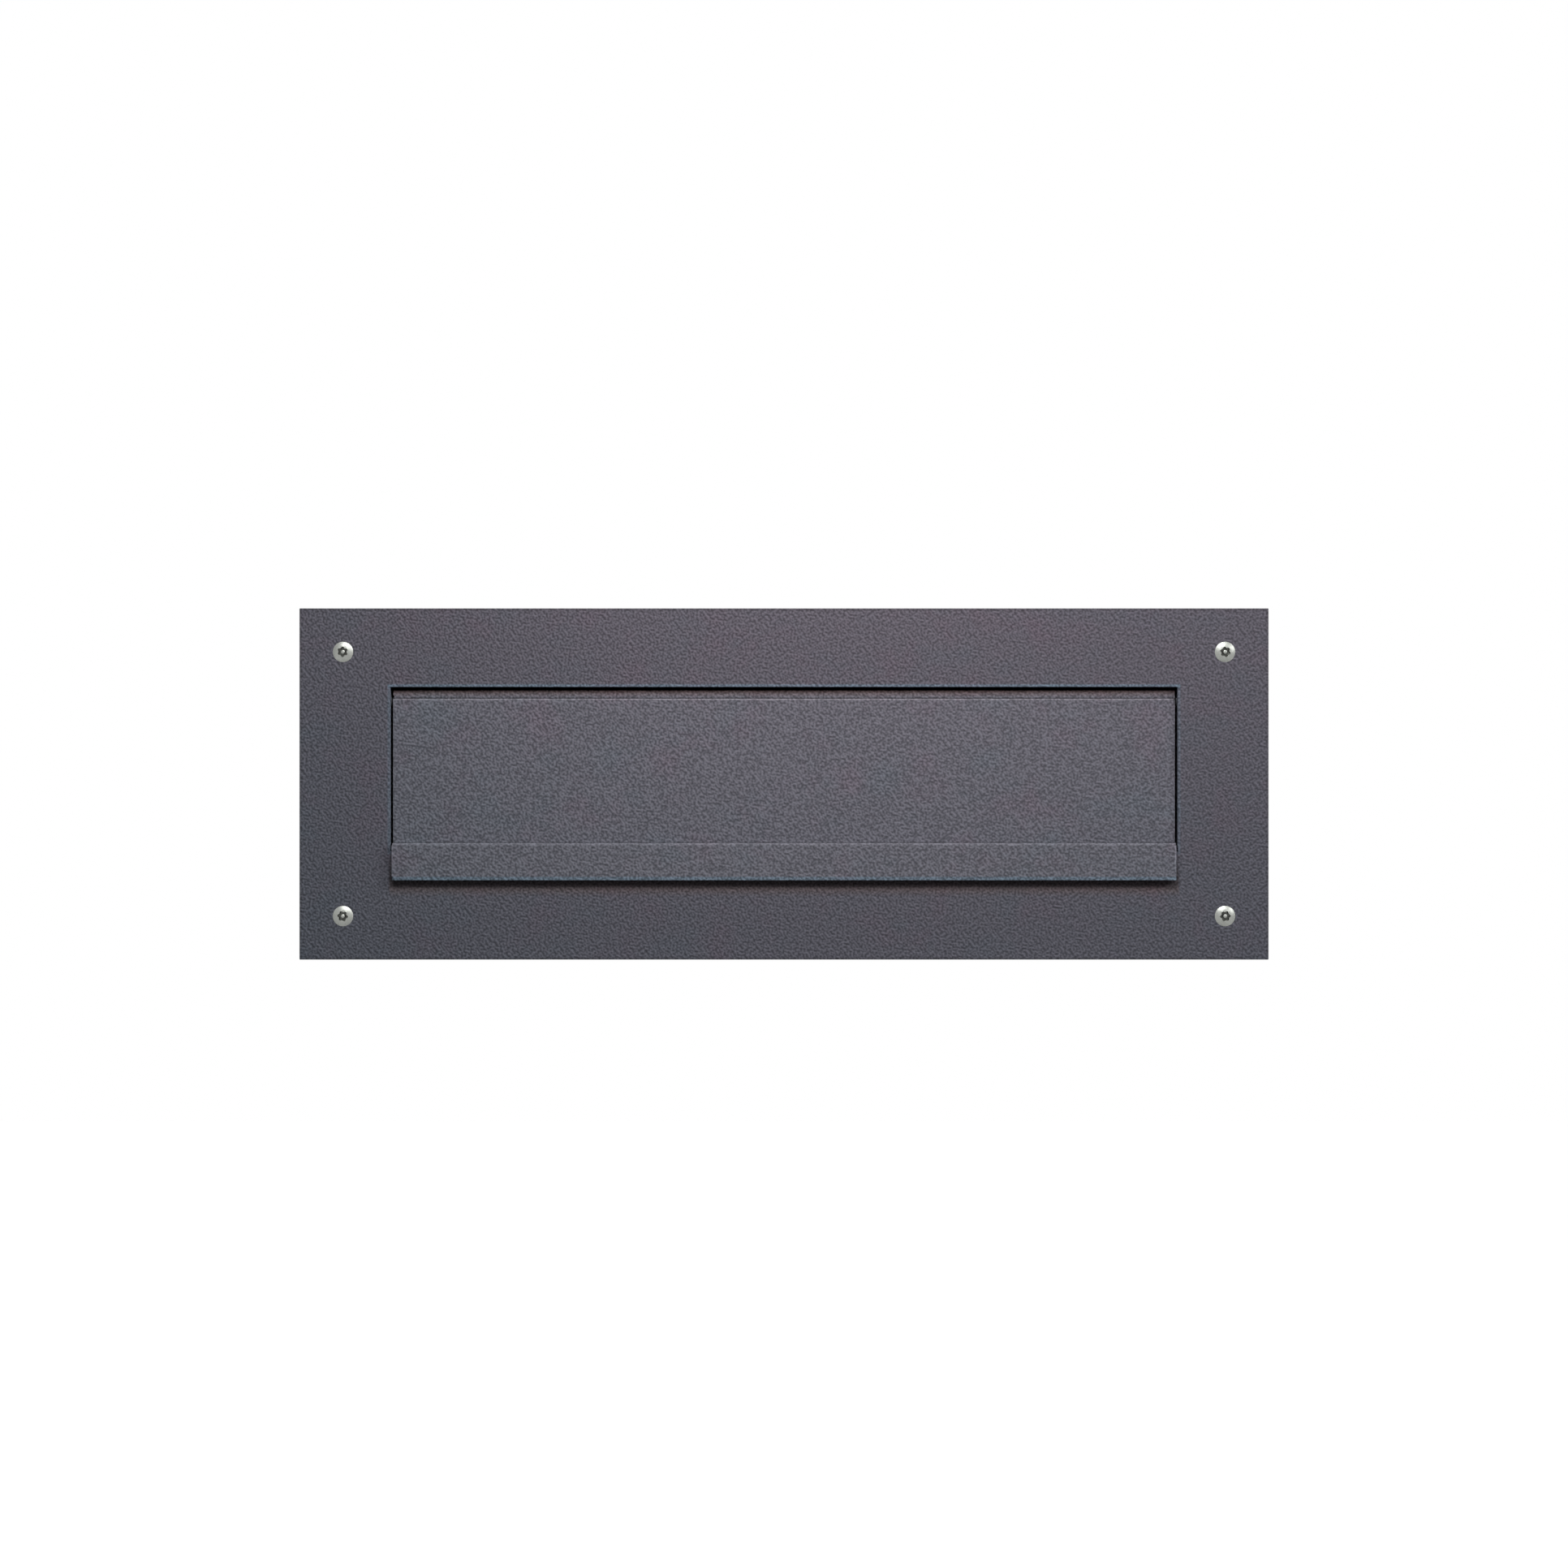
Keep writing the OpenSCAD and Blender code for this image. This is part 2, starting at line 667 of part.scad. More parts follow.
module hinge_pins() {
  color(spring_steel) for (side = [-1, 1]) translate([door_axis_x, door_axis_y, side * hinge_offset]) {
    translate([0, 0, -hinge_h / 2 - pin_head_h]) cylinder(r = pin_r, h = hinge_h + 2 * pin_head_h);
    translate([0, 0, hinge_h / 2 - slide_gap / 2]) cylinder(r = pin_head_r, h = pin_head_h);
    translate([0, 0, -hinge_h / 2 + slide_gap / 2 - pin_head_h]) cylinder(r = pin_head_r, h = pin_head_h);
  }
}

module lock_body() {
  color(stainless) difference() {
    union() {
      bar_y(lock_flange_d / 2, door_face, flange_face, [lock_x, 0]);
      flatted_bar(lock_r, lock_flats, barrel_end, door_face + lock_flange_t / 2);
    }
    bar_y(plug_r + run_gap, barrel_end - past, flange_face + past, [lock_x, 0]);
    bar_y(plug_head_r + run_gap, flange_face - plug_head_t, flange_face + past, [lock_x, 0]);
  }
}

module lock_nut() {
  nut_rear = door_face - door_t;
  color(stainless) hex_nut(lock_nut_af, lock_r + thread_gap, nut_rear - lock_nut_h, nut_rear, [lock_x, 0]);
}

module lock_plug() {
  slot_half_t = key_t / 2 + slide_gap;
  slot_half_w = key_w / 2 + slide_gap;
  tail_tap = 3;
  color(stainless) difference() {
    union() {
      bar_y(plug_r, barrel_end, flange_face - plug_head_t / 2, [lock_x, 0]);
      bar_y(plug_head_r, flange_face - plug_head_t + slide_gap / 2, plug_face, [lock_x, 0]);
      block([lock_x - tail_w / 2, tail_end, -tail_w / 2],
        [lock_x + tail_w / 2, barrel_end + past, tail_w / 2]);
    }
    block([lock_x - slot_half_t, key_slot_floor, -slot_half_w],
      [lock_x + slot_half_t, plug_face + past, slot_half_w]);
    bar_y(cam_screw_d / 2 + thread_gap, tail_end - past, barrel_end + 1, [lock_x, 0]);
  }
}

module lock_cam() {
  hole = tail_w / 2 + thread_gap;
  tip_r = cam_w / 2;
  color(galvanised) difference() {
    union() {
      bar_y(tip_r, cam_front, cam_rear, [lock_x, 0]);
      bar_y(tip_r, cam_front, cam_rear, [lock_x, tip_r - cam_length]);
      block([lock_x - tip_r, cam_front, tip_r - cam_length], [lock_x + tip_r, cam_rear, 0]);
    }
    block([lock_x - hole, cam_front - past, -hole], [lock_x + hole, cam_rear + past, hole]);
  }
}

module cam_screw() {
  head_r = tail_w / 2 + 1.5;
  head_h = 2;
  cross_w = 1;
  color(stainless) difference() {
    union() {
      bar_y(head_r, tail_end - head_h, tail_end, [lock_x, 0]);
      bar_y(cam_screw_d / 2, tail_end - head_h / 2, barrel_end + 0.5, [lock_x, 0]);
    }
    for (a = [0, 90]) translate([lock_x, tail_end - head_h, 0]) rotate([0, a, 0])
      block([-head_r / 2, -past, -cross_w / 2], [head_r / 2, head_h / 2, cross_w / 2]);
  }
}

module key() {
  notch = 1.4;
  color(stainless) difference() {
    union() {
      block([lock_x - key_t / 2, key_tip, -key_w / 2], [lock_x + key_t / 2, bow_y, key_w / 2]);
      bar_x(bow_d / 2, lock_x - key_t / 2, lock_x + key_t / 2, [bow_y, 0]);
    }
    bar_x(0.15 * bow_d, lock_x - key_t, lock_x + key_t, [bow_y + 0.22 * bow_d, 0]);
    for (i = [0:3]) translate([lock_x, key_tip + 2.5 + 3 * i, key_w / 2]) rotate([45, 0, 0])
      cube([2 * key_t, notch, notch], center = true);
  }
}

front_plate();
plate_screws();
wall_gasket();
letter_flap();
flap_bumpers();
hinge_rod();
left_hinge_bracket();
right_hinge_bracket();
bracket_studs();
bracket_nuts();
rod_clips();
left_flap_spring();
right_flap_spring();
front_frame();
weld_nuts();
box_body();
box_roof();
roof_rivets();
rear_trim();
door_frame();
door_seal();
removal_door();
hinge_trim_leaves();
hinge_door_leaves();
hinge_pins();
lock_body();
lock_nut();
lock_plug();
lock_cam();
cam_screw();
key();
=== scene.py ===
import json
import math
import bmesh
import bpy
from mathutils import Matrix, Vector

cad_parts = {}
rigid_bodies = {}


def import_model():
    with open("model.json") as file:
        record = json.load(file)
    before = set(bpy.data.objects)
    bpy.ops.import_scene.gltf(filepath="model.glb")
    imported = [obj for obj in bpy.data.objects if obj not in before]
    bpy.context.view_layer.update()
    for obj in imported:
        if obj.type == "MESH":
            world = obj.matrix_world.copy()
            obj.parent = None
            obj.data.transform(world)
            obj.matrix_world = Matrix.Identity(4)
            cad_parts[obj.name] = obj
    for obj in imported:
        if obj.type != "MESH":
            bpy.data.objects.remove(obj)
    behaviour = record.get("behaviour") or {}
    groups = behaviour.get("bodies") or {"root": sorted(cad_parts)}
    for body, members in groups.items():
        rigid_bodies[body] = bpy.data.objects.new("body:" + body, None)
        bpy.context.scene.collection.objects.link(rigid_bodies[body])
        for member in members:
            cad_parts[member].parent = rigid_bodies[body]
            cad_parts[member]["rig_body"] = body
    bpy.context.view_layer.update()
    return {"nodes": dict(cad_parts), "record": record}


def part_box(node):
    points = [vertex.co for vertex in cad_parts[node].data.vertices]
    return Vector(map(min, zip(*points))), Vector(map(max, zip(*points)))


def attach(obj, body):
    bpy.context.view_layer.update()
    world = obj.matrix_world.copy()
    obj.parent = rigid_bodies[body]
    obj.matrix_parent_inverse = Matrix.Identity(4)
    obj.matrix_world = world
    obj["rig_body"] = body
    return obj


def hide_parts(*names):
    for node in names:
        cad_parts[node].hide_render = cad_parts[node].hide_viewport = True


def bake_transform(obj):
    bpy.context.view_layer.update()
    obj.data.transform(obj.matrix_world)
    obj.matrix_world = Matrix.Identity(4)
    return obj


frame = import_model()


# --- Viewpoint ---------------------------------------------------------------
# A long lens looks squarely at the middle of the street plate from 1.1 m away, at the plate's
# own height, so that its edges stay parallel.
plate_low, plate_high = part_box("front_plate")
bpy.ops.object.camera_add(location=(0, plate_low.y - 1.1, 0), rotation=(math.radians(90), 0, 0))
camera = bpy.context.object
camera.name = "viewpoint"
camera.data.sensor_width = 36
camera.data.lens = 61.2
camera.data.clip_end = 40
bpy.context.scene.camera = camera
bpy.context.scene.view_settings.view_transform = "Standard"


# --- Lamps -------------------------------------------------------------------
# A soft box hangs close above the front of the plate, with a wide one off to its right and another
# further back. Three more light the room side of the box from above and from its sides.
def add_soft_box(name, place, aim, width, height, watts):
    """A rectangular lamp that shines from its place towards aim."""
    bpy.ops.object.light_add(type="AREA", location=place)
    lamp = bpy.context.object
    lamp.name = name
    lamp.data.shape = "RECTANGLE"
    lamp.data.size = width
    lamp.data.size_y = height
    lamp.data.energy = watts
    lamp.visible_camera = False
    lamp.rotation_euler = (Vector(aim) - Vector(place)).to_track_quat("-Z", "Y").to_euler()


add_soft_box("street_soft_box", (0.02, -0.25, 0.29), (0.01, 0, 0), 0.25, 0.24, 0.74)
add_soft_box("street_side_box", (1.1, -0.6, 0.6), (0.03, 0, 0), 0.5, 0.4, 6.5)
add_soft_box("street_far_box", (0, -0.95, 1.15), (0, 0, -0.03), 0.9, 0.35, 11)
add_soft_box("room_soft_box", (-0.5, 1.2, 0.9), (0, 0.24, 0), 0.9, 0.6, 10)
add_soft_box("left_fill", (-1.3, 0.35, 0.5), (0, 0.12, 0), 0.8, 0.8, 5)
add_soft_box("right_fill", (1.3, 0.35, 0.5), (0, 0.12, 0), 0.8, 0.8, 5)


# --- Backdrop and floor ------------------------------------------------------
# A white sweep of paper far behind the box, and a pale floor 0.9 m below it, at the height such
# a letter box is set. The floor shows the box's shadow in the middle and runs out to white.
def add_range(tree, value, from_low, from_high, to_low, to_high):
    """A number carried over from one range to another."""
    ramp = tree.nodes.new("ShaderNodeMapRange")
    ramp.inputs["From Min"].default_value = from_low
    ramp.inputs["From Max"].default_value = from_high
    ramp.inputs["To Min"].default_value = to_low
    ramp.inputs["To Max"].default_value = to_high
    tree.links.new(value, ramp.inputs["Value"])
    return ramp.outputs["Result"]


def add_math(tree, operation, first, second):
    """Two numbers put together. Either may be a socket or a plain value."""
    step = tree.nodes.new("ShaderNodeMath")
    step.operation = operation
    for socket, value in zip(step.inputs, (first, second)):
        if isinstance(value, (int, float)):
            socket.default_value = value
        else:
            tree.links.new(value, socket)
    return step.outputs["Value"]


def looked_at(tree):
    """1 where the eye meets the paper, straight or by way of metal or glass, and 0 where it only lights."""
    ray = tree.nodes.new("ShaderNodeLightPath")
    mirrored = add_math(tree, "MAXIMUM", ray.outputs["Is Camera Ray"], ray.outputs["Is Glossy Ray"])
    return add_math(tree, "MAXIMUM", mirrored, ray.outputs["Is Transmission Ray"])


room_light = 0.025   # How brightly the paper lights the box.
world = bpy.data.worlds.new("white_backdrop")
bpy.context.scene.world = world
world.use_nodes = True
sky = world.node_tree
sky.nodes.clear()
backdrop = sky.nodes.new("ShaderNodeBackground")
backdrop.inputs["Color"].default_value = (1, 1, 1, 1)
sky.links.new(add_range(sky, looked_at(sky), 0, 1, room_light, 1), backdrop.inputs["Strength"])
sky_out = sky.nodes.new("ShaderNodeOutputWorld")
sky.links.new(backdrop.outputs["Background"], sky_out.inputs["Surface"])

floor_z, floor_size = -0.9, 12
bpy.ops.object.select_all(action="DESELECT")
bpy.ops.mesh.primitive_plane_add(size=floor_size, location=(0, 0, floor_z))
floor = bpy.context.object
floor.name = "floor"
bpy.ops.object.transform_apply(location=True, rotation=True, scale=True)

paper = bpy.data.materials.new("floor_paper")
paper.use_nodes = True
tree = paper.node_tree
tree.nodes.clear()
level = tree.nodes.new("ShaderNodeVectorMath")
level.operation = "MULTIPLY"
level.inputs[1].default_value = (1, 1, 0)
tree.links.new(tree.nodes.new("ShaderNodeTexCoord").outputs["Object"], level.inputs[0])
reach = tree.nodes.new("ShaderNodeVectorMath")
reach.operation = "LENGTH"
tree.links.new(level.outputs["Vector"], reach.inputs[0])
dim_glow, dim_r, white_r = 0.65, 0.4, 1.5   # The glow within one radius, and where it reaches white.
glow = add_range(tree, reach.outputs["Value"], dim_r, white_r, dim_glow, 1)
glow.node.interpolation_type = "SMOOTHSTEP"
light = tree.nodes.new("ShaderNodeEmission")
tree.links.new(add_math(tree, "MULTIPLY", glow, looked_at(tree)), light.inputs["Strength"])
matt = tree.nodes.new("ShaderNodeBsdfDiffuse")
matt.inputs["Color"].default_value = (0.3, 0.3, 0.3, 1)
both = tree.nodes.new("ShaderNodeAddShader")
tree.links.new(matt.outputs["BSDF"], both.inputs[0])
tree.links.new(light.outputs["Emission"], both.inputs[1])
out = tree.nodes.new("ShaderNodeOutputMaterial")
tree.links.new(both.outputs["Shader"], out.inputs["Surface"])
floor.data.materials.append(paper)


# --- Front plate -------------------------------------------------------------
# A 3 mm sheet cut to 400 by 145 mm, with the letter opening through it and four countersunk
# holes. Its edges are rounded off before it is powder coated in a fine anthracite texture.
def select_only(piece):
    """Leaves edit mode if need be, and selects one piece."""
    if bpy.context.mode != "OBJECT":
        bpy.ops.object.mode_set(mode="OBJECT")
    bpy.ops.object.select_all(action="DESELECT")
    piece.select_set(True)
    bpy.context.view_layer.objects.active = piece


def edit(piece):
    """Takes one piece into edit mode."""
    select_only(piece)
    bpy.ops.object.mode_set(mode="EDIT")


def add_block(name, low, high):
    """A block between two corners, with its place in its mesh."""
    low, high = Vector(low), Vector(high)
    bpy.ops.object.select_all(action="DESELECT")
    bpy.ops.mesh.primitive_cube_add(size=1, location=(low + high) / 2, scale=high - low)
    piece = bpy.context.object
    piece.name = name
    bpy.ops.object.transform_apply(location=True, rotation=True, scale=True)
    return piece


facing = 0.9   # A face looks along an axis where its normal has more than this along it.


def pick_faces(test):
    """In edit mode, selects the faces whose middle and normal pass the test."""
    bpy.ops.mesh.select_mode(type="FACE")
    bpy.ops.mesh.select_all(action="DESELECT")
    shape = bmesh.from_edit_mesh(bpy.context.edit_object.data)
    for face in shape.faces:
        face.select_set(bool(test(face.calc_center_median(), face.normal)))
    bmesh.update_edit_mesh(bpy.context.edit_object.data)


def pick_edges(test):
    """In edit mode, selects the edges whose two ends pass the test."""
    bpy.ops.mesh.select_mode(type="EDGE")
    bpy.ops.mesh.select_all(action="DESELECT")
    shape = bmesh.from_edit_mesh(bpy.context.edit_object.data)
    for edge in shape.edges:
        edge.select_set(bool(test(edge.verts[0].co, edge.verts[1].co)))
    shape.select_flush_mode()
    bmesh.update_edit_mesh(bpy.context.edit_object.data)


def cut_across(axis, *places):
    """In edit mode, cuts the whole piece at places along one axis, and keeps both sides."""
    normal = (axis == "X", axis == "Y", axis == "Z")
    for place in places:
        bpy.ops.mesh.select_all(action="SELECT")
        bpy.ops.mesh.bisect(plane_co=[part * place for part in normal], plane_no=normal)


def combine(piece, other, operation):
    """Joins another piece on, or takes its shape out, and removes it."""
    cut = piece.modifiers.new("cut", "BOOLEAN")
    cut.operation = operation
    cut.solver = "EXACT"
    cut.object = other
    select_only(piece)
    bpy.ops.object.modifier_apply(modifier=cut.name)
    bpy.data.objects.remove(other)


def round_edges(piece, width, segments=3, angle=32):
    """Rounds every sharp edge off, and lets the flat faces between them shade flat."""
    select_only(piece)
    bpy.ops.object.shade_smooth()
    bevel = piece.modifiers.new("rounded_edges", "BEVEL")
    bevel.width = width
    bevel.segments = segments
    bevel.limit_method = "ANGLE"
    bevel.angle_limit = math.radians(angle)
    bpy.ops.object.modifier_apply(modifier=bevel.name)
    edit(piece)
    pick_faces(lambda middle, normal: max(abs(part) for part in normal) > 0.99999)
    bpy.ops.mesh.set_normals_from_faces(keep_sharp=False)
    bpy.ops.object.mode_set(mode="OBJECT")


def add_bar(name, axis, radius, start, end, sides=48):
    """A round bar from start to end along one axis, with its place in its mesh."""
    turn = {"X": (0, math.radians(90), 0), "Y": (math.radians(-90), 0, 0), "Z": (0, 0, 0)}[axis]
    start, end = Vector(start), Vector(end)
    bpy.ops.object.select_all(action="DESELECT")
    bpy.ops.mesh.primitive_cylinder_add(vertices=sides, radius=radius, depth=(end - start).length,
                                        location=(start + end) / 2, rotation=turn)
    piece = bpy.context.object
    piece.name = name
    bpy.ops.object.transform_apply(location=True, rotation=True, scale=True)
    return piece


def add_cone(name, wide_r, narrow_r, start, depth, sides):
    """A cone that narrows along Y from its wide end at start, with its place in its mesh."""
    x, y, z = start
    bpy.ops.object.select_all(action="DESELECT")
    bpy.ops.mesh.primitive_cone_add(vertices=sides, radius1=wide_r, radius2=narrow_r, depth=depth,
                                    location=(x, y + depth / 2, z), rotation=(math.radians(-90), 0, 0))
    piece = bpy.context.object
    piece.name = name
    bpy.ops.object.transform_apply(location=True, rotation=True, scale=True)
    return piece


def sheet_with_opening(name, low, high, open_low, open_high):
    """A sheet across the Y axis with a rectangular opening, given by X and Z, right through it."""
    piece = add_block(name, low, high)
    edit(piece)
    cut_across("X", open_low[0], open_high[0])
    cut_across("Z", open_low[1], open_high[1])
    pick_faces(lambda middle, normal: abs(normal.y) > facing
               and open_low[0] < middle.x < open_high[0] and open_low[1] < middle.z < open_high[1])
    bpy.ops.mesh.bridge_edge_loops()
    bpy.ops.object.mode_set(mode="OBJECT")
    return piece


def mark_points(piece, **shares):
    """Keeps on each point of a piece how much of each mark shows there, such as a coat's other tone."""
    for name, share in shares.items():
        mark = piece.data.attributes.new(name, "FLOAT", "POINT")
        for vertex in piece.data.vertices:
            mark.data[vertex.index].value = share(vertex.co)


def start_group(name, **inputs):
    """A shared effect with its own inputs. It reads the place on the piece, and puts out a colour, a
    roughness and a height."""
    group = bpy.data.node_groups.new(name, "ShaderNodeTree")
    for label, value in inputs.items():
        kind = "Float"
        if isinstance(value, tuple):
            kind = "Color" if len(value) == 4 else "Vector"
        socket = group.interface.new_socket(label, in_out="INPUT", socket_type="NodeSocket" + kind)
        socket.default_value = value
    for label, kind in (("Colour", "Color"), ("Roughness", "Float"), ("Height", "Float")):
        group.interface.new_socket(label, in_out="OUTPUT", socket_type="NodeSocket" + kind)
    inside = group.nodes.new("NodeGroupInput").outputs
    where = group.nodes.new("ShaderNodeTexCoord").outputs["Object"]
    return group, inside, where


def end_group(group, colour, roughness, height):
    """Leads what a group has worked out to its outputs."""
    outside = group.nodes.new("NodeGroupOutput").inputs
    group.links.new(colour, outside["Colour"])
    group.links.new(roughness, outside["Roughness"])
    group.links.new(height, outside["Height"])
    return group


def add_noise(tree, coordinate, scale, detail, roughness=0.6, stretch=None):
    """Noise read from a coordinate, at so many features to the metre. Most of it lies between 0.3
    and 0.7."""
    noise = tree.nodes.new("ShaderNodeTexNoise")
    noise.inputs["Scale"].default_value = scale
    noise.inputs["Detail"].default_value = detail
    noise.inputs["Roughness"].default_value = roughness
    if stretch:
        mapping = tree.nodes.new("ShaderNodeMapping")
        mapping.inputs["Scale"].default_value = stretch
        tree.links.new(coordinate, mapping.inputs["Vector"])
        coordinate = mapping.outputs["Vector"]
    tree.links.new(coordinate, noise.inputs["Vector"])
    return noise


def add_mix(tree, factor, first, second, blend="MIX"):
    """Two colours put together. Each may be a socket or a plain colour."""
    mix = tree.nodes.new("ShaderNodeMix")
    mix.data_type = "RGBA"
    mix.blend_type = blend
    colour_in = [socket for socket in mix.inputs if socket.type == "RGBA"]
    factor_in = [socket for socket in mix.inputs if socket.type == "VALUE"][0]
    for socket, value in ((factor_in, factor), (colour_in[0], first), (colour_in[1], second)):
        if isinstance(value, (int, float, tuple)):
            socket.default_value = value
        else:
            tree.links.new(value, socket)
    return [socket for socket in mix.outputs if socket.type == "RGBA"][0]


def shade_colour(tree, colour, shade):
    """A colour made darker by a number below 1, or lighter by one above."""
    grey = tree.nodes.new("ShaderNodeCombineXYZ")
    for socket in grey.inputs:
        tree.links.new(shade, socket)
    return add_mix(tree, 1.0, colour, grey.outputs["Vector"], "MULTIPLY")


def make_texture_group():
    """Fine texture: a close relief of bumps about a millimetre apart, with shade painted into its tone,
    pale on the tops and dark between, and faint warm and cool clouds. A painted cast of light
    drifts from warm at the top to cool low down and towards both ends."""
    group, inside, where = start_group("fine_texture", Colour=(0.1, 0.1, 0.1, 1), Grain=1000.0,
                                       Contrast=0.35, Clouds=0.5)
    turned = group.nodes.new("ShaderNodeMapping")
    turned.inputs["Rotation"].default_value = (0, math.radians(38), 0)
    group.links.new(where, turned.inputs["Vector"])
    grain = add_noise(group, turned.outputs["Vector"], 1000, 0)
    group.links.new(inside["Grain"], grain.inputs["Scale"])
    bumps = grain.outputs["Fac"]
    # The tone follows the relief, which paints shade into the hollows between the bumps.
    shade = add_math(group, "MULTIPLY", add_range(group, bumps, 0.3, 0.7, -1, 1), inside["Contrast"])
    shade = add_math(group, "ADD", shade, 1)

    colour = inside["Colour"]
    for scale, stretch, tint in ((55, None, (1.12, 0.93, 0.98, 1)),
                                 (38, (1.0, 1.0, 1.4), (0.90, 1.03, 1.03, 1))):
        cloud = add_noise(group, where, scale, 3, stretch=stretch)
        cloud = add_range(group, cloud.outputs["Fac"], 0.52, 0.72, 0, 1)
        cloud = add_math(group, "MULTIPLY", cloud, inside["Clouds"])
        colour = add_mix(group, cloud, colour, tint, "MULTIPLY")
    colour = shade_colour(group, colour, shade)

    # A painted cast of light: more red towards the top and the right, less towards both ends.
    warm_up, warm_right, cool_ends = 0.7, 0.12, -1.4
    spot = group.nodes.new("ShaderNodeSeparateXYZ")
    group.links.new(where, spot.inputs["Vector"])
    across, up = spot.outputs["X"], spot.outputs["Z"]
    ends = add_math(group, "MULTIPLY", add_math(group, "MULTIPLY", across, across), cool_ends)
    red = add_math(group, "ADD", add_math(group, "MULTIPLY", up, warm_up), ends)
    red = add_math(group, "ADD", add_math(group, "MULTIPLY", across, warm_right), red)
    cast = group.nodes.new("ShaderNodeCombineXYZ")
    cast.inputs["Y"].default_value = 1
    cast.inputs["Z"].default_value = 1
    group.links.new(add_math(group, "ADD", red, 1), cast.inputs["X"])
    colour = add_mix(group, 1.0, colour, cast.outputs["Vector"], "MULTIPLY")
    return end_group(group, colour, add_range(group, bumps, 0.3, 0.7, 0.7, 0.58), bumps)


def new_material(name):
    """A material, its nodes and the shader among them."""
    material = bpy.data.materials.new(name)
    material.use_nodes = True
    return material, material.node_tree, material.node_tree.nodes["Principled BSDF"]


def add_group(tree, group, **values):
    """A group placed in a material, with that material's own values."""
    node = tree.nodes.new("ShaderNodeGroup")
    node.node_tree = group
    for name, value in values.items():
        node.inputs[name].default_value = value
    return node


def add_mark(tree, name):
    """How much of a mark shows, as mark_points keeps it."""
    mark = tree.nodes.new("ShaderNodeAttribute")
    mark.attribute_name = name
    return mark.outputs["Fac"]


def feed_surface(tree, effect, surface, relief, colour=None):
    """Leads a group's colour, roughness and height to the shader. The relief is in metres."""
    bump = tree.nodes.new("ShaderNodeBump")
    bump.inputs["Distance"].default_value = relief
    tree.links.new(effect.outputs["Height"], bump.inputs["Height"])
    tree.links.new(colour or effect.outputs["Colour"], surface.inputs["Base Color"])
    tree.links.new(effect.outputs["Roughness"], surface.inputs["Roughness"])
    tree.links.new(bump.outputs["Normal"], surface.inputs["Normal"])


texture_group = make_texture_group()
# The coat's other tones are painted light and shade: two painted highlights, painted shade, and a warm shadow
# tint.
coat_tones = {
    "cut_edge": (0.150, 0.205, 0.265, 1),
    "fold": (0.215, 0.205, 0.232, 1),
    "corner": (0.020, 0.017, 0.019, 1),
    "dust": (0.180, 0.130, 0.128, 1),
}


def make_powder_coat(name, colour):
    """A coat with painted light and shade on it: a bluish painted highlight along cut edges, a paler
    painted highlight over folds, painted shade in corners and under ledges, and a warm tint painted
    into those shadows."""
    material, tree, surface = new_material(name)
    coat = add_group(tree, texture_group, Grain=1000.0, Contrast=0.31, Clouds=0.5)
    tone = (*colour, 1)
    for mark, other in coat_tones.items():
        tone = add_mix(tree, add_mark(tree, mark), tone, other)
    tree.links.new(tone, coat.inputs["Colour"])
    feed_surface(tree, coat, surface, 0.00036)
    surface.inputs["Specular IOR Level"].default_value = 0.1
    return material


powder_coat = make_powder_coat("anthracite_powder_coat", (0.119, 0.112, 0.1355))


def wear(piece, material):
    """Gives a piece one material all over."""
    piece.data.materials.clear()
    piece.data.materials.append(material)


def place_piece(piece, body, slot, material, *nodes):
    """Gives a finished piece its material and its body, and hides the nodes it stands for. Its slot is not
    used.
    """
    wear(piece, material)
    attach(piece, body)
    if nodes:
        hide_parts(*nodes)


slot_x = 0.1625
slot_low_z, slot_high_z = -0.028, 0.040
screw_x, screw_z = 0.182, 0.0545
screw_places = [(x, z) for x in (-screw_x, screw_x) for z in (-screw_z, screw_z)]

plate = sheet_with_opening("street_plate", plate_low, plate_high,
                           (-slot_x, slot_low_z), (slot_x, slot_high_z))

# Cuts that the coat's other tones end at: a strip along each edge, over which they fade, a line
# just below the top of the opening, and the bands below the flap's lip that hold its painted shadow.
strip_start, strip_end = 0.0009, 0.0013
dust_top_z, dust_mid_z, dust_end_z = -0.0395, -0.0435, -0.0465
edit(plate)
for inset in (strip_start, strip_end):
    for x in (slot_x + inset, plate_high.x - inset):
        cut_across("X", -x, x)
    cut_across("Z", slot_low_z - inset, slot_high_z + inset, plate_low.z + inset, plate_high.z - inset)
cut_across("Z", slot_high_z - 0.001, dust_top_z, dust_mid_z, dust_end_z)
bpy.ops.object.mode_set(mode="OBJECT")
round_edges(plate, 0.0003)

past = 0.001   # How far a cutter reaches past the faces that it goes through.
shank_hole_r = 0.00225
sink_wide_r, sink_narrow_r, sink_depth, sink_proud = 0.00475, 0.00205, 0.0027, 0.0005
for x, z in screw_places:
    shank_hole = add_bar("shank_hole", "Y", shank_hole_r,
                         (x, plate_low.y - past, z), (x, plate_high.y + past, z))
    combine(plate, shank_hole, "DIFFERENCE")
    countersink = add_cone("countersink", sink_wide_r, sink_narrow_r,
                           (x, plate_low.y - sink_proud, z), sink_depth, 64)
    combine(plate, countersink, "DIFFERENCE")
edit(plate)
bpy.ops.mesh.select_all(action="SELECT")
bpy.ops.mesh.remove_doubles(threshold=0.00002)
bpy.ops.object.mode_set(mode="OBJECT")
round_edges(plate, 0.0001, 2)


def fade(inset, start=strip_start, end=strip_end):
    """1 up to the start of the strip along an edge, and 0 from its end."""
    return max(0, min(1, (end - inset) / (end - start)))


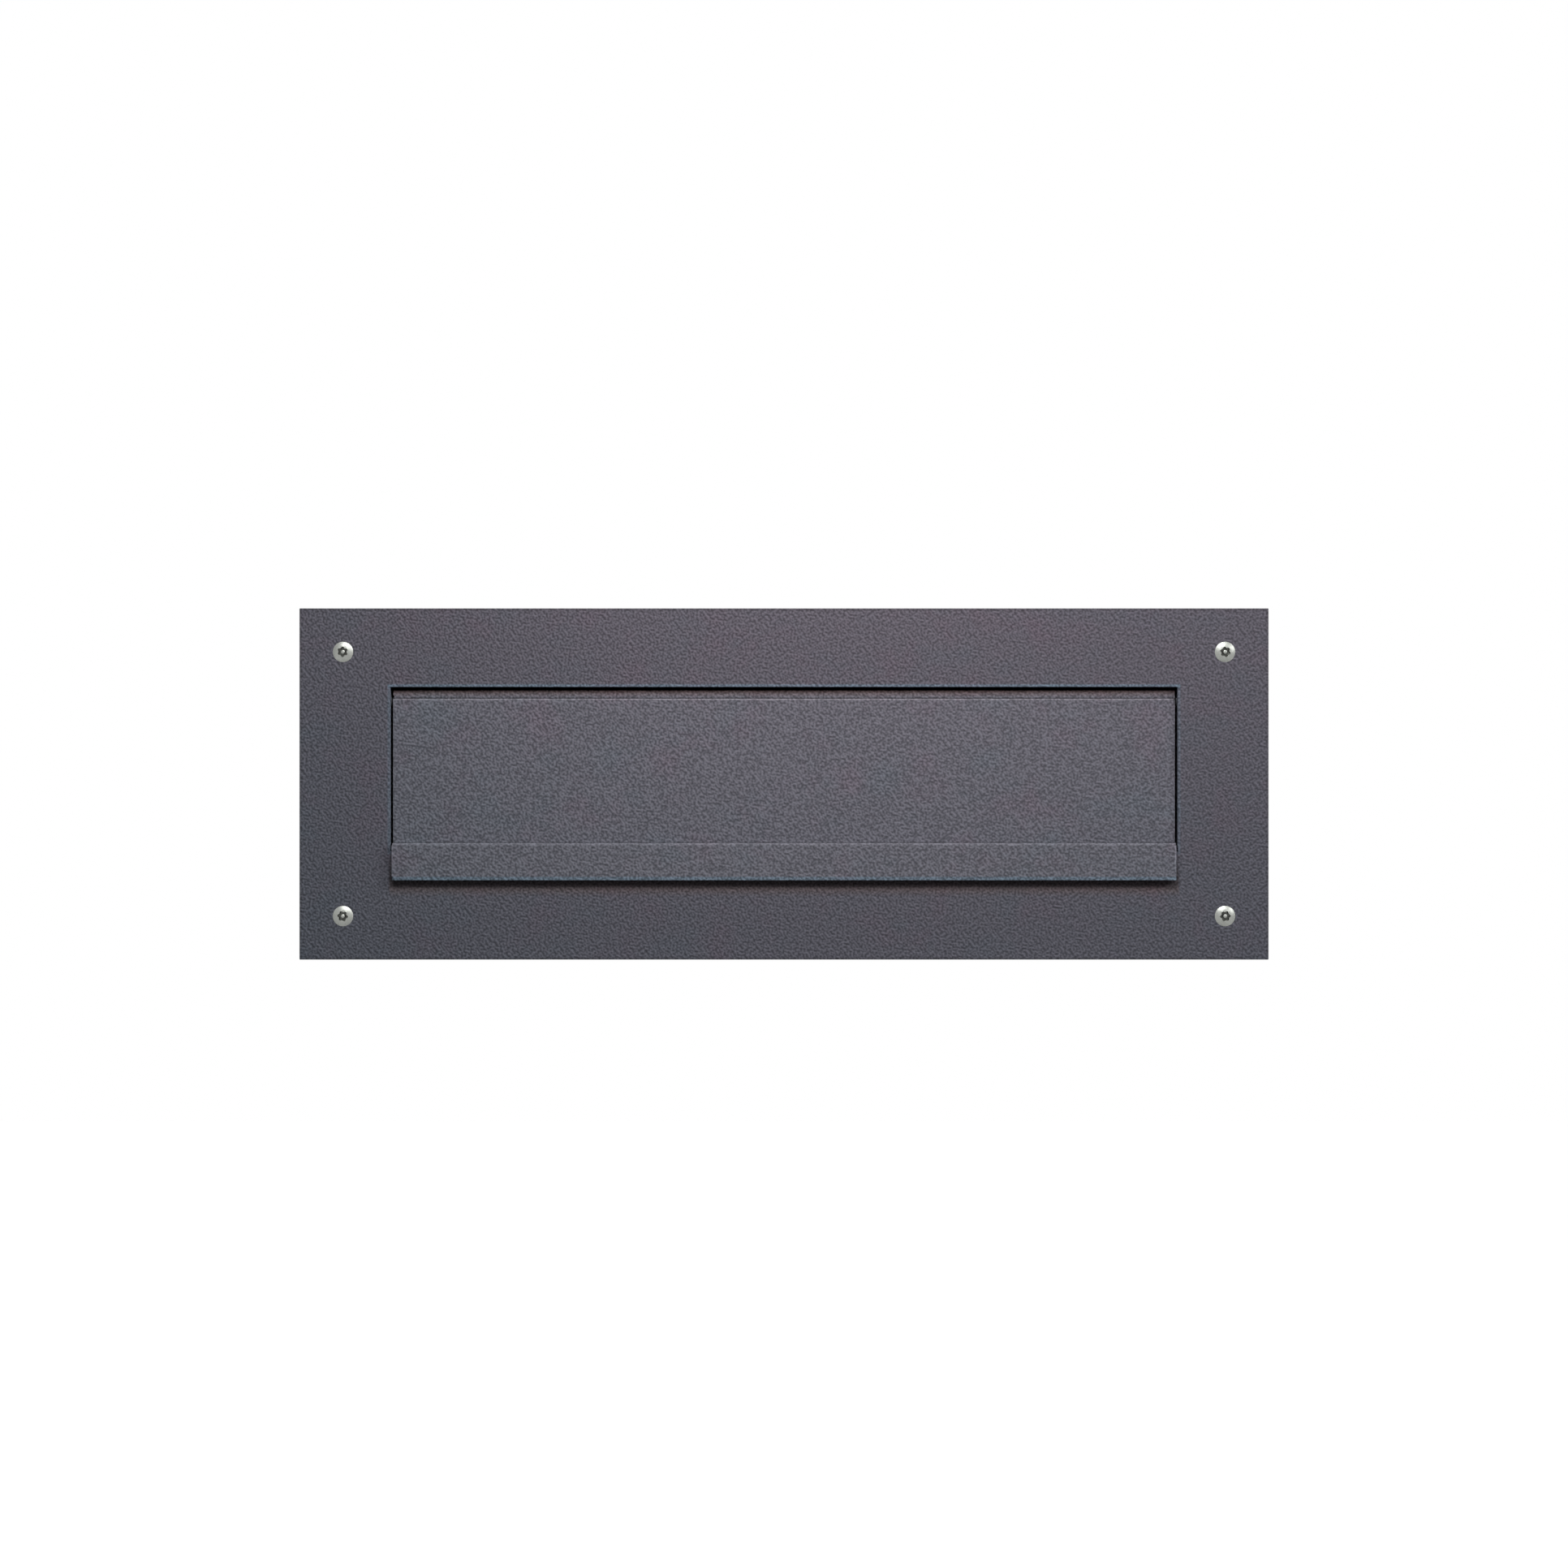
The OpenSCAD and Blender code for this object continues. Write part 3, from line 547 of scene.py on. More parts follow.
def near_opening(point):
    """A bluish painted highlight along the top of the opening, and a little at its sides."""
    share = 0.75 if point.z > slot_high_z - strip_start else 0.3
    return share * fade(max(abs(point.x) - slot_x, point.z - slot_high_z, slot_low_z - point.z))


near = 0.0001   # A point this close to a cut counts as lying on it.


def below_lip(point):
    """Whether a point of the plate's face lies below the flap's lip."""
    return (abs(point.x) < slot_x + near and point.y < plate_low.y + near
            and dust_end_z < point.z < dust_top_z + near)


def dark_places(point):
    """Painted shade along the plate's outer edge, and a painted shadow below the flap's lip."""
    if below_lip(point):
        return 0.75 if point.z > dust_mid_z + near else 0.25
    return 0.2 * fade(min(plate_high.x - abs(point.x), plate_high.z - point.z, point.z - plate_low.z))


def under_lip(point):
    """A warm tint painted into the shadow below the flap's lip."""
    if not below_lip(point):
        return 0
    return 0.15 if point.z > dust_mid_z + near else 0.5


# Painted highlights, painted shade and a painted shadow with its warm tint on the plate's coat.
mark_points(plate, cut_edge=near_opening, corner=dark_places, dust=under_lip)
place_piece(plate, "housing", "powder_coat", powder_coat, "front_plate")


# --- Plate screws ------------------------------------------------------------
# Four M4 stainless machine screws with raised countersunk heads. Each has a six-lobed socket with
# a pin in its middle, so that it can't be undone from the street with a common driver.
def make_tool_lines_group():
    """Fine lines left by turning, drawing or brushing, with faint dull patches from handling."""
    group, inside, where = start_group("tool_lines", Colour=(0.6, 0.6, 0.6, 1), Roughness=0.3,
                                       Contrast=0.15, Stretch=(1, 1, 1))
    mapping = group.nodes.new("ShaderNodeMapping")
    group.links.new(where, mapping.inputs["Vector"])
    group.links.new(inside["Stretch"], mapping.inputs["Scale"])
    lines = add_noise(group, mapping.outputs["Vector"], 1, 3).outputs["Fac"]
    dull = add_noise(group, where, 180, 3).outputs["Fac"]
    shade = add_math(group, "MULTIPLY", add_range(group, lines, 0.3, 0.7, -1, 1), inside["Contrast"])
    shade = add_math(group, "ADD", shade, add_range(group, dull, 0.4, 0.7, 0, -0.12))
    colour = shade_colour(group, inside["Colour"], add_math(group, "ADD", shade, 1))
    rough = add_math(group, "ADD", add_range(group, dull, 0.4, 0.7, 0, 0.12), inside["Roughness"])
    return end_group(group, colour, rough, lines)


tool_lines_group = make_tool_lines_group()


def make_bright_metal(name, colour, roughness, stretch, contrast=0.12):
    """Bare or plated metal, with black painted shade wherever the piece is marked for it, as in the screw
    sockets.
    """
    material, tree, surface = new_material(name)
    metal = add_group(tree, tool_lines_group, Colour=(*colour, 1), Roughness=roughness,
                      Contrast=contrast, Stretch=stretch)
    # Black painted shade where the piece marks it.
    shown = add_mix(tree, add_mark(tree, "grime"), metal.outputs["Colour"], (0.03, 0.031, 0.026, 1))
    feed_surface(tree, metal, surface, 0.00001, shown)
    surface.inputs["Metallic"].default_value = 1
    return material


screw_steel = make_bright_metal("turned_stainless", (0.32, 0.33, 0.308), 0.38, (2500, 2500, 2500))

head_r, head_depth, dome = 0.0042, 0.0022, 0.0012
shank_r, shank_end = 0.002, 0.010
dome_r = (head_r ** 2 + dome ** 2) / (2 * dome)
head_sides, lobes = 96, 6


def dome_height(radius):
    """How far the head's dome stands above its edge at a radius."""
    return math.sqrt(dome_r ** 2 - radius ** 2) - (dome_r - dome)


screw = add_cone("screw", head_r, shank_r, (0, 0, 0), head_depth, head_sides)
edit(screw)
pick_faces(lambda middle, normal: normal.y > facing)
bpy.ops.mesh.extrude_region_move(TRANSFORM_OT_translate={"value": (0, shank_end - head_depth, 0)})


def lobed(radius, swell, turn):
    """A radius that swells at the lobes round the screw."""
    return radius * (1 + swell * math.cos(lobes * turn))


def add_ring(last, ring, rise):
    """In edit mode, extrudes the face in the middle of the head by rise and makes it a new ring.
    A ring is its radius and the share by which it swells at the lobes."""
    pick_faces(lambda middle, normal: abs(normal.y) > facing and math.hypot(middle.x, middle.z) < 1e-5
               and middle.y < head_depth)
    bpy.ops.mesh.extrude_region_move(TRANSFORM_OT_translate={"value": (0, rise, 0)})
    shape = bmesh.from_edit_mesh(screw.data)
    rim = {vertex.index: round(math.atan2(vertex.co.z, vertex.co.x) * head_sides / math.tau)
           % (head_sides // lobes) for vertex in shape.verts if vertex.select}
    bpy.ops.mesh.select_mode(type="VERT")
    for part in sorted(set(rim.values())):
        turn = part * math.tau / head_sides
        share = lobed(*ring, turn) / lobed(*last, turn)
        bpy.ops.mesh.select_all(action="DESELECT")
        shape = bmesh.from_edit_mesh(screw.data)
        shape.verts.ensure_lookup_table()
        for index, its_part in rim.items():
            shape.verts[index].select_set(its_part == part)
        bmesh.update_edit_mesh(screw.data)
        bpy.ops.transform.resize(value=(share, 1, share), center_override=(0, 0, 0))
    return ring


ring, height = (head_r, 0), 0
for radius in (0.00416, 0.0040, 0.0037, 0.0034, 0.0031, 0.0028, 0.0025):
    ring = add_ring(ring, (radius, 0), height - dome_height(radius))
    height = dome_height(radius)

socket_r, pin_r, swell = 0.0019, 0.0008, 0.14
socket_rings = (
    (0.00198, swell, -0.00012), (socket_r, swell, 0.00008),     # the socket's rounded rim
    (socket_r, swell, 0.0019), (0.0018, swell, 0.00005),        # its wall, and the foot of it
    (0.00085, 0, 0.00002), (pin_r, 0, -0.00006),                # its floor, and the foot of the pin
    (pin_r, 0, -0.0016),                                        # the pin's side
    (0.00068, 0, -0.00012), (0.00045, 0, -0.00009), (0.00018, 0, -0.00004),   # its domed end
)
for radius, share, rise in socket_rings:
    ring = add_ring(ring, (radius, share), rise)
bpy.ops.object.mode_set(mode="OBJECT")
bpy.ops.object.shade_smooth_by_angle(angle=math.radians(28))


def in_socket(point):
    """Painted shade on the walls and the floor of the socket and the foot of its pin, and none on the pin's
    end.
    """
    out = math.hypot(point.x, point.z)
    below = -0.0003 if out < 0.0009 else -0.00085
    return 0.75 if out < 0.0023 and below < point.y < 0.0013 else 0


mark_points(screw, grime=in_socket)


def join_pieces(pieces, name):
    """Makes like pieces one object, in which each is still a solid of its own."""
    select_only(pieces[0])
    for piece in pieces:
        piece.select_set(True)
    bpy.ops.object.join()
    pieces[0].name = name
    return pieces[0]


screws = []
for number, (x, z) in enumerate(screw_places):
    select_only(screw)
    bpy.ops.object.duplicate()
    turned_in = bpy.context.object
    turned_in.rotation_euler = (0, math.radians(23 * number + 8), 0)
    turned_in.location = (x, plate_low.y, z)
    bpy.ops.object.transform_apply(location=True, rotation=True, scale=True)
    screws.append(turned_in)
bpy.data.objects.remove(screw)
place_piece(join_pieces(screws, "street_screws"), "housing", "stainless", screw_steel, "plate_screws")


# --- Wall gasket -------------------------------------------------------------
# A strip of closed-cell foam rubber, 2 mm thick when pressed, glued round the back of the plate
# so that no rain runs in behind it.
def make_pores_group():
    """Small dark pores in a soft black sheet, lightly dusted."""
    group, inside, where = start_group("soft_pores", Colour=(0.02, 0.02, 0.02, 1), Pores=1500.0)
    cells = group.nodes.new("ShaderNodeTexVoronoi")
    group.links.new(where, cells.inputs["Vector"])
    group.links.new(inside["Pores"], cells.inputs["Scale"])
    pore = add_range(group, cells.outputs["Distance"], 0.1, 0.45, 0, 1)
    dust = add_range(group, add_noise(group, where, 120, 4).outputs["Fac"], 0.45, 0.75, 0, 0.35)
    dark = add_mix(group, pore, (0.35, 0.35, 0.35, 1), (1.0, 1.0, 1.0, 1))
    colour = add_mix(group, 1.0, inside["Colour"], dark, "MULTIPLY")
    colour = add_mix(group, dust, colour, (0.09, 0.085, 0.08, 1))
    return end_group(group, colour, add_range(group, pore, 0, 1, 0.95, 0.75), pore)


pores_group = make_pores_group()


def make_soft_black(name, colour, pores, relief):
    """Foam or rubber, with so many pores to the metre."""
    material, tree, surface = new_material(name)
    soft = add_group(tree, pores_group, Colour=(*colour, 1), Pores=pores)
    feed_surface(tree, soft, surface, relief)
    surface.inputs["Specular IOR Level"].default_value = 0.3
    return material


foam = make_soft_black("black_foam", (0.022, 0.022, 0.024), 1400.0, 0.0002)
wear(frame["nodes"]["wall_gasket"], foam)


# --- Letter flap -------------------------------------------------------------
# One sheet, folded forward and down along its foot into a lip that covers the opening's lower
# edge, and back along its top round the tube that it turns on. Coated like the plate, in a paler
# copy of its coat that paints on the extra light that the flap catches.
flap_end = 0.1615
flap_t, band_t = 0.0018, 0.0012
flap_face_y, flap_rear_y = -0.0038, -0.0020
lip_face_y, lip_rear_y = -0.0078, -0.0060
foot_z, step_z = -0.0396, -0.0244
band_face_y, band_rear_y = -0.0028, -0.0016
face_top_z, band_foot_z, flap_top_z = 0.0337, 0.0353, 0.0388

flap = add_block("street_flap", (-flap_end, flap_face_y, step_z), (flap_end, flap_rear_y, face_top_z))
edit(flap)


def push(test, by):
    """In edit mode, extrudes the faces that pass the test."""
    pick_faces(test)
    bpy.ops.mesh.extrude_region_move(TRANSFORM_OT_translate={"value": by})


def front_of_step(middle, normal):
    return normal.y < -facing and middle.z < step_z


def top_of_band(middle, normal):
    return normal.z > facing and middle.z > face_top_z and middle.y > band_face_y


hinge_y, hinge_z = 0.0014, 0.0344
push(lambda middle, normal: normal.z < -facing, (0, 0, -flap_t))
push(front_of_step, (0, lip_rear_y - flap_face_y, 0))
push(front_of_step, (0, lip_face_y - lip_rear_y, 0))
push(lambda middle, normal: normal.z < -facing and middle.y < lip_rear_y, (0, 0, foot_z - step_z + flap_t))
push(lambda middle, normal: normal.z > facing and middle.z > 0, (0, 0, band_foot_z - face_top_z))
push(lambda middle, normal: normal.y > facing and middle.z > face_top_z, (0, band_rear_y - flap_rear_y, 0))
cut_across("Y", band_face_y)
push(top_of_band, (0, 0, flap_top_z - band_t - band_foot_z))
push(top_of_band, (0, 0, band_t))
push(lambda middle, normal: normal.y > facing and middle.z > flap_top_z - band_t,
     (0, hinge_y - band_rear_y, 0))

# Cuts that the coat's other tones end at: along the ends and the foot, above the lip's fold and
# the foot of the band, and a little over half way up the band.
corner_h = 0.0007
foot_start, foot_end = 0.0012, 0.0016
band_mid_z = 0.0374
for inset in (strip_start, strip_end):
    cut_across("X", inset - flap_end, flap_end - inset)
cut_across("Z", foot_z + foot_start, foot_z + foot_end, step_z + corner_h, band_foot_z + corner_h, band_mid_z)


def ends_at(a, b, **place):
    """Whether both ends of an edge lie at the given places along the axes."""
    return all(abs(getattr(end, axis) - value) < 1e-5 for end in (a, b) for axis, value in place.items())


for y, z, fold_r in ((lip_face_y, step_z, 0.0010), (flap_face_y, band_foot_z, 0.0008),
                     (band_face_y, flap_top_z, 0.0008)):
    pick_edges(lambda a, b: ends_at(a, b, y=y, z=z))
    bpy.ops.mesh.bevel(offset=fold_r, segments=3, affect="EDGES")
bpy.ops.object.mode_set(mode="OBJECT")
round_edges(flap, 0.00025)


def along_flap(name, radius, end, y, z, sides=48):
    """A round bar along the flap that reaches as far on both sides."""
    return add_bar(name, "X", radius, (-end, y, z), (end, y, z), sides)


tube_end, tube_r, rod_bore_r = 0.1578, 0.003, 0.00155
port_y, port_z, port_r, port_bore_r = -0.0011, 0.0250, 0.0013, 0.00055
neck_front_y, neck_low_z, neck_high_z = -0.0022, 0.0329, 0.0378
bore_end = 0.17
for part in (along_flap("flap_tube", tube_r, tube_end, hinge_y, hinge_z),
             add_block("flap_neck", (-tube_end, neck_front_y, neck_low_z),
                       (tube_end, hinge_y - 0.0002, neck_high_z)),
             along_flap("spring_port", port_r, tube_end, port_y, port_z, 32)):
    combine(flap, part, "UNION")
for bore in (along_flap("rod_bore", rod_bore_r, bore_end, hinge_y, hinge_z),
             along_flap("port_bore", port_bore_r, bore_end, port_y, port_z, 24)):
    combine(flap, bore, "DIFFERENCE")
round_edges(flap, 0.0001, 2, 40)


def near_lip_foot(point):
    """A bluish painted highlight along the lip's foot."""
    return 0.65 * fade(point.z - foot_z, foot_start, foot_end) if point.y < lip_rear_y - 0.0002 else 0


def on_fold(point):
    """A painted highlight over the two folds that face up, and a lighter tone painted a little over the lip's
    face.
    """
    if point.y < lip_rear_y and point.z > foot_z + foot_start:
        return 0.25 if point.z > step_z - 0.0006 else 0.1
    return 0.6 if band_face_y - 0.0002 > point.y and 0 < band_foot_z - point.z < 0.0005 else 0


def in_corner(point):
    """Painted shade in the creases above the lip's bend and above the foot of the band."""
    if point.y < flap_face_y - 0.0003 or point.y > band_face_y + 0.0009:
        return 0
    for foot, share in ((step_z, 0.4), (band_foot_z, 0.8)):
        if -near < point.z - foot < corner_h:
            return share * (1 - (point.z - foot) / corner_h)
    return 0


def on_band(point):
    """A warm, paler tint painted into the shadow that the plate's edge casts on the band."""
    if point.y < flap_face_y + 0.0003 or point.y > band_rear_y:
        return 0
    if point.z > flap_top_z - 0.001:
        return 0.9
    return 0.5 if point.z > band_mid_z - near else 0


# Painted highlights, painted shade and a warm tint in the shadow on the flap's coat.
mark_points(flap, cut_edge=near_lip_foot, fold=on_fold, corner=in_corner, dust=on_band)
# A paler copy of the plate's coat, painting on the light that the flap catches.
flap_coat = make_powder_coat("flap_powder_coat", (0.147, 0.143, 0.170))
place_piece(flap, "flap", "powder_coat", flap_coat, "letter_flap")


# --- Flap bumpers ------------------------------------------------------------
# Two self-adhesive rubber discs behind the lip, a millimetre thick, that the flap closes on.
rubber = make_soft_black("black_rubber", (0.018, 0.018, 0.019), 5000.0, 0.00003)
bumper_x, bumper_z, bumper_r = 0.1395, -0.0338, 0.004
bumpers = []
for x in (-bumper_x, bumper_x):
    disc = add_bar("bumper", "Y", bumper_r, (x, lip_rear_y, bumper_z), (x, plate_low.y, bumper_z))
    edit(disc)
    pick_faces(lambda middle, normal: normal.y > facing)
    bpy.ops.mesh.inset(thickness=0.0012)
    bpy.ops.object.mode_set(mode="OBJECT")
    round_edges(disc, 0.0003)
    bumpers.append(disc)
place_piece(join_pieces(bumpers, "lip_bumpers"), "flap", "rubber", rubber, "flap_bumpers")


# --- Flap hinge --------------------------------------------------------------
# A 3 mm stainless rod runs through the flap's tube and two bent brackets, and a push-on clip
# holds it at each end. The brackets sit on studs welded to the plate, under nuts.
drawn_steel = make_bright_metal("drawn_stainless", (0.6, 0.6, 0.58), 0.25, (40, 4000, 4000))
zinc_plate = make_bright_metal("zinc_plated_steel", (0.56, 0.58, 0.6), 0.36, (900, 900, 900), 0.18)
wear(frame["nodes"]["hinge_rod"], drawn_steel)


def make_spangle_group():
    """The crystals of hot-dip galvanised sheet, each with its own tone and gloss."""
    group, inside, where = start_group("zinc_spangle", Colour=(0.55, 0.57, 0.6, 1), Crystals=110.0,
                                       Contrast=0.2)
    bent = group.nodes.new("ShaderNodeVectorMath")
    bent.operation = "MULTIPLY_ADD"
    bent.inputs[1].default_value = (0.008, 0.008, 0.008)
    group.links.new(add_noise(group, where, 150, 3).outputs["Color"], bent.inputs[0])
    group.links.new(where, bent.inputs[2])
    cells = group.nodes.new("ShaderNodeTexVoronoi")
    group.links.new(bent.outputs["Vector"], cells.inputs["Vector"])
    group.links.new(inside["Crystals"], cells.inputs["Scale"])
    split = group.nodes.new("ShaderNodeSeparateColor")
    group.links.new(cells.outputs["Color"], split.inputs["Color"])
    needles = add_noise(group, where, 700, 4, 0.65, (1.0, 1.0, 0.3))
    needle = add_range(group, needles.outputs["Fac"], 0.3, 0.7, -0.35, 0.35)
    tone = add_math(group, "ADD", add_range(group, split.outputs["Red"], 0, 1, -1, 1), needle)
    tone = add_math(group, "MULTIPLY", tone, inside["Contrast"])
    colour = shade_colour(group, inside["Colour"], add_math(group, "ADD", tone, 1))
    gloss = add_range(group, split.outputs["Green"], 0, 1, 0.52, 0.70)
    return end_group(group, colour, gloss, add_math(group, "ADD", split.outputs["Blue"], needle))


spangle_group = make_spangle_group()


def make_galvanised(name, crystals, contrast):
    """Galvanised sheet, with so many crystals to the metre."""
    material, tree, surface = new_material(name)
    zinc = add_group(tree, spangle_group, Colour=(0.33, 0.345, 0.36, 1), Crystals=crystals,
                     Contrast=contrast)
    feed_surface(tree, zinc, surface, 0.00002)
    surface.inputs["Metallic"].default_value = 0.45
    return material


galvanised = make_galvanised("galvanised_sheet", 90.0, 0.16)
galvanised_small = make_galvanised("galvanised_bracket", 160.0, 0.14)
for node in ("left_hinge_bracket", "right_hinge_bracket"):
    wear(frame["nodes"][node], galvanised_small)
for node in ("bracket_studs", "bracket_nuts", "weld_nuts"):
    wear(frame["nodes"][node], zinc_plate)
spring_steel = make_bright_metal("oiled_spring_steel", (0.13, 0.13, 0.14), 0.35, (1500, 1500, 1500))
wear(frame["nodes"]["rod_clips"], spring_steel)


# --- Flap springs ------------------------------------------------------------
# Two torsion springs of 0.8 mm wire, wound five turns round the rod beyond the ends of the tube.
# One leg rests on the plate, and the other reaches into a port in the flap and winds up with it.
wire_r, coil_r = 0.0004, 0.0022
coil_start, coil_end = 0.15866, 0.1634
coil_turns, coil_steps = 5, 160


def make_spring(name, side, node):
    """A leg down the back of the plate, the coil round the rod, and a leg into the flap's port."""
    bpy.ops.object.select_all(action="DESELECT")
    bpy.ops.curve.primitive_nurbs_path_add(radius=1)
    path = bpy.context.object
    path.name = name
    leave = math.degrees(math.atan2(port_z - hinge_z, port_y - hinge_y))
    leave += math.degrees(math.acos(coil_r / math.hypot(port_y - hinge_y, port_z - hinge_z)))
    sweep = 180 + 360 * coil_turns - leave
    leg_y = plate_high.y + wire_r + 0.00005
    points = [(coil_end, leg_y, hinge_z - 0.0094), (coil_end, leg_y, hinge_z - 0.0060)]
    for step in range(coil_steps + 1):
        angle = math.radians(180 - sweep * step / coil_steps)
        points.append((coil_end - (coil_end - coil_start) * step / coil_steps,
                       hinge_y + coil_r * math.cos(angle), hinge_z + coil_r * math.sin(angle)))
    points += [(coil_start, port_y, port_z + 0.0012), (coil_start, port_y, port_z),
               (coil_start - 0.003, port_y, port_z)]
    path.data.splines.clear()
    line = path.data.splines.new("POLY")
    line.points.add(len(points) - 1)
    for spot, (x, y, z) in zip(line.points, points):
        spot.co = (side * x, y, z, 1)
    path.data.dimensions = "3D"
    path.data.bevel_depth = wire_r
    path.data.bevel_resolution = 3
    path.data.use_fill_caps = True
    bpy.ops.object.convert(target="MESH")
    spring = bpy.context.object
    bpy.ops.object.shade_smooth_by_angle(angle=math.radians(40))
    wear(spring, spring_steel)
    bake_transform(spring)
    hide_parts(node)


make_spring("spring_left", -1, "left_flap_spring")
make_spring("spring_right", 1, "right_flap_spring")


# --- Front frame -------------------------------------------------------------
# A 1.5 mm galvanised ring at the front end of the box, spot welded to it, that carries the
# welded nuts for the four street screws.
wear(frame["nodes"]["front_frame"], galvanised)


# --- Box ---------------------------------------------------------------------
# One galvanised sheet folded up at both sides and in again along the top, with a flat roof
# riveted on its flanges. Two holes in each side take the screws into the wall.
body_low, body_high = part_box("box_body")
sheet_t, bend_r = 0.001, 0.0018
side_h, flange_w = body_high.z - body_low.z, 0.015
bpy.ops.object.select_all(action="DESELECT")
bpy.ops.mesh.primitive_plane_add(size=1, location=(0, (body_low.y + body_high.y) / 2, body_low.z))
box = bpy.context.object
box.name = "galvanised_box"
box.scale = (body_high.x - body_low.x, body_high.y - body_low.y, 1)
bpy.ops.object.transform_apply(location=True, rotation=True, scale=True)
edit(box)
for side in (-1, 1):
    pick_edges(lambda a, b: ends_at(a, b, x=side * body_high.x, z=body_low.z))
    bpy.ops.mesh.extrude_region_move(TRANSFORM_OT_translate={"value": (0, 0, side_h)})
    bpy.ops.mesh.extrude_region_move(TRANSFORM_OT_translate={"value": (-side * flange_w, 0, 0)})
bpy.ops.mesh.select_all(action="SELECT")
bpy.ops.mesh.normals_make_consistent(inside=False)
select_only(box)
bpy.ops.object.shade_smooth()
bend = box.modifiers.new("bends", "BEVEL")
bend.width = bend_r
bend.segments = 4
bend.limit_method = "ANGLE"
bend.angle_limit = math.radians(40)
bpy.ops.object.modifier_apply(modifier=bend.name)
gauge = box.modifiers.new("gauge", "SOLIDIFY")
gauge.thickness = sheet_t
gauge.offset = -1
gauge.use_even_offset = True
bpy.ops.object.modifier_apply(modifier=gauge.name)
fixing_r, past_side = 0.00325, 0.2
for y in (0.070, 0.170):
    fixing_hole = add_bar("fixing_hole", "X", fixing_r, (-past_side, y, 0), (past_side, y, 0))
    combine(box, fixing_hole, "DIFFERENCE")
frame_low, frame_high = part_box("door_frame")
combine(box, add_block("frame_seat", frame_low, frame_high + Vector((0, past, 0.0002))), "DIFFERENCE")
bpy.ops.object.shade_smooth_by_angle(angle=math.radians(35))
place_piece(box, "housing", "galvanised", galvanised, "box_body")
wear(frame["nodes"]["box_roof"], galvanised)
wear(frame["nodes"]["door_frame"], galvanised)


# --- Roof rivets -------------------------------------------------------------
# Eight blind rivets of stainless steel, 3.2 mm thick, four along each flange of the box. Their
# domed heads stand on the roof, and their tails are pulled wide below the flange.
wear(frame["nodes"]["roof_rivets"], screw_steel)


# --- Rear trim ---------------------------------------------------------------
# A ring cut from flat sheet and coated like the plate. It slips over the room end of the box and
# covers the cut edge of the wall.
trim_low, trim_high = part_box("rear_trim")
trim_open_x, trim_open_z = 0.1931, 0.0656
trim = sheet_with_opening("room_trim", trim_low, trim_high,
                          (-trim_open_x, -trim_open_z), (trim_open_x, trim_open_z))
round_edges(trim, 0.0004)
place_piece(trim, "housing", "powder_coat", powder_coat, "rear_trim")


# --- Door and its seal -------------------------------------------------------
# A pan folded from 1.2 mm sheet with a return flange all round, coated like the trim. It closes
# on a foam seal stuck to the box's inner frame.
wear(frame["nodes"]["door_seal"], foam)
door_low, door_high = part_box("removal_door")
door_t, return_w, door_fold_r = 0.0012, 0.010, 0.0016
wide = (door_high.x - door_low.x) / 2
tall = (door_high.z - door_low.z) / 2
door = add_block("room_door", door_low, door_high)
edit(door)
pick_faces(lambda middle, normal: normal.y < -facing)
bpy.ops.mesh.inset(thickness=return_w)
bpy.ops.mesh.extrude_region_move(TRANSFORM_OT_translate={"value": (0, door_t, 0)})
bpy.ops.mesh.extrude_region_move(TRANSFORM_OT_translate={"value": (0, 0, 0)})
bpy.ops.transform.resize(value=((wide - door_t) / (wide - return_w), 1, (tall - door_t) / (tall - return_w)),
                         center_override=(0, 0, 0))
pan_depth = door_high.y - door_low.y - 2 * door_t
bpy.ops.mesh.extrude_region_move(TRANSFORM_OT_translate={"value": (0, pan_depth, 0)})
bpy.ops.object.mode_set(mode="OBJECT")
lock_x, lock_hole_r = 0.158, 0.00795
lock_hole = add_bar("lock_hole", "Y", lock_hole_r,
                    (lock_x, door_high.y - 0.004, 0), (lock_x, door_high.y + past, 0))
combine(door, lock_hole, "DIFFERENCE")


def on_door_fold(a, b):
    """The edges round the door's face, and those that run back at its four corners."""
    if ends_at(a, b, y=door_high.y):
        return (a.xz - Vector((lock_x, 0))).length > 0.01
    return ends_at(a, b, x=a.x, z=a.z) and abs(a.x) > wide - near and abs(a.z) > tall - near


edit(door)
pick_edges(on_door_fold)
bpy.ops.mesh.bevel(offset=door_fold_r, segments=5, affect="EDGES")
bpy.ops.object.mode_set(mode="OBJECT")
round_edges(door, 0.0002, 2, 50)
place_piece(door, "door", "powder_coat", powder_coat, "removal_door")


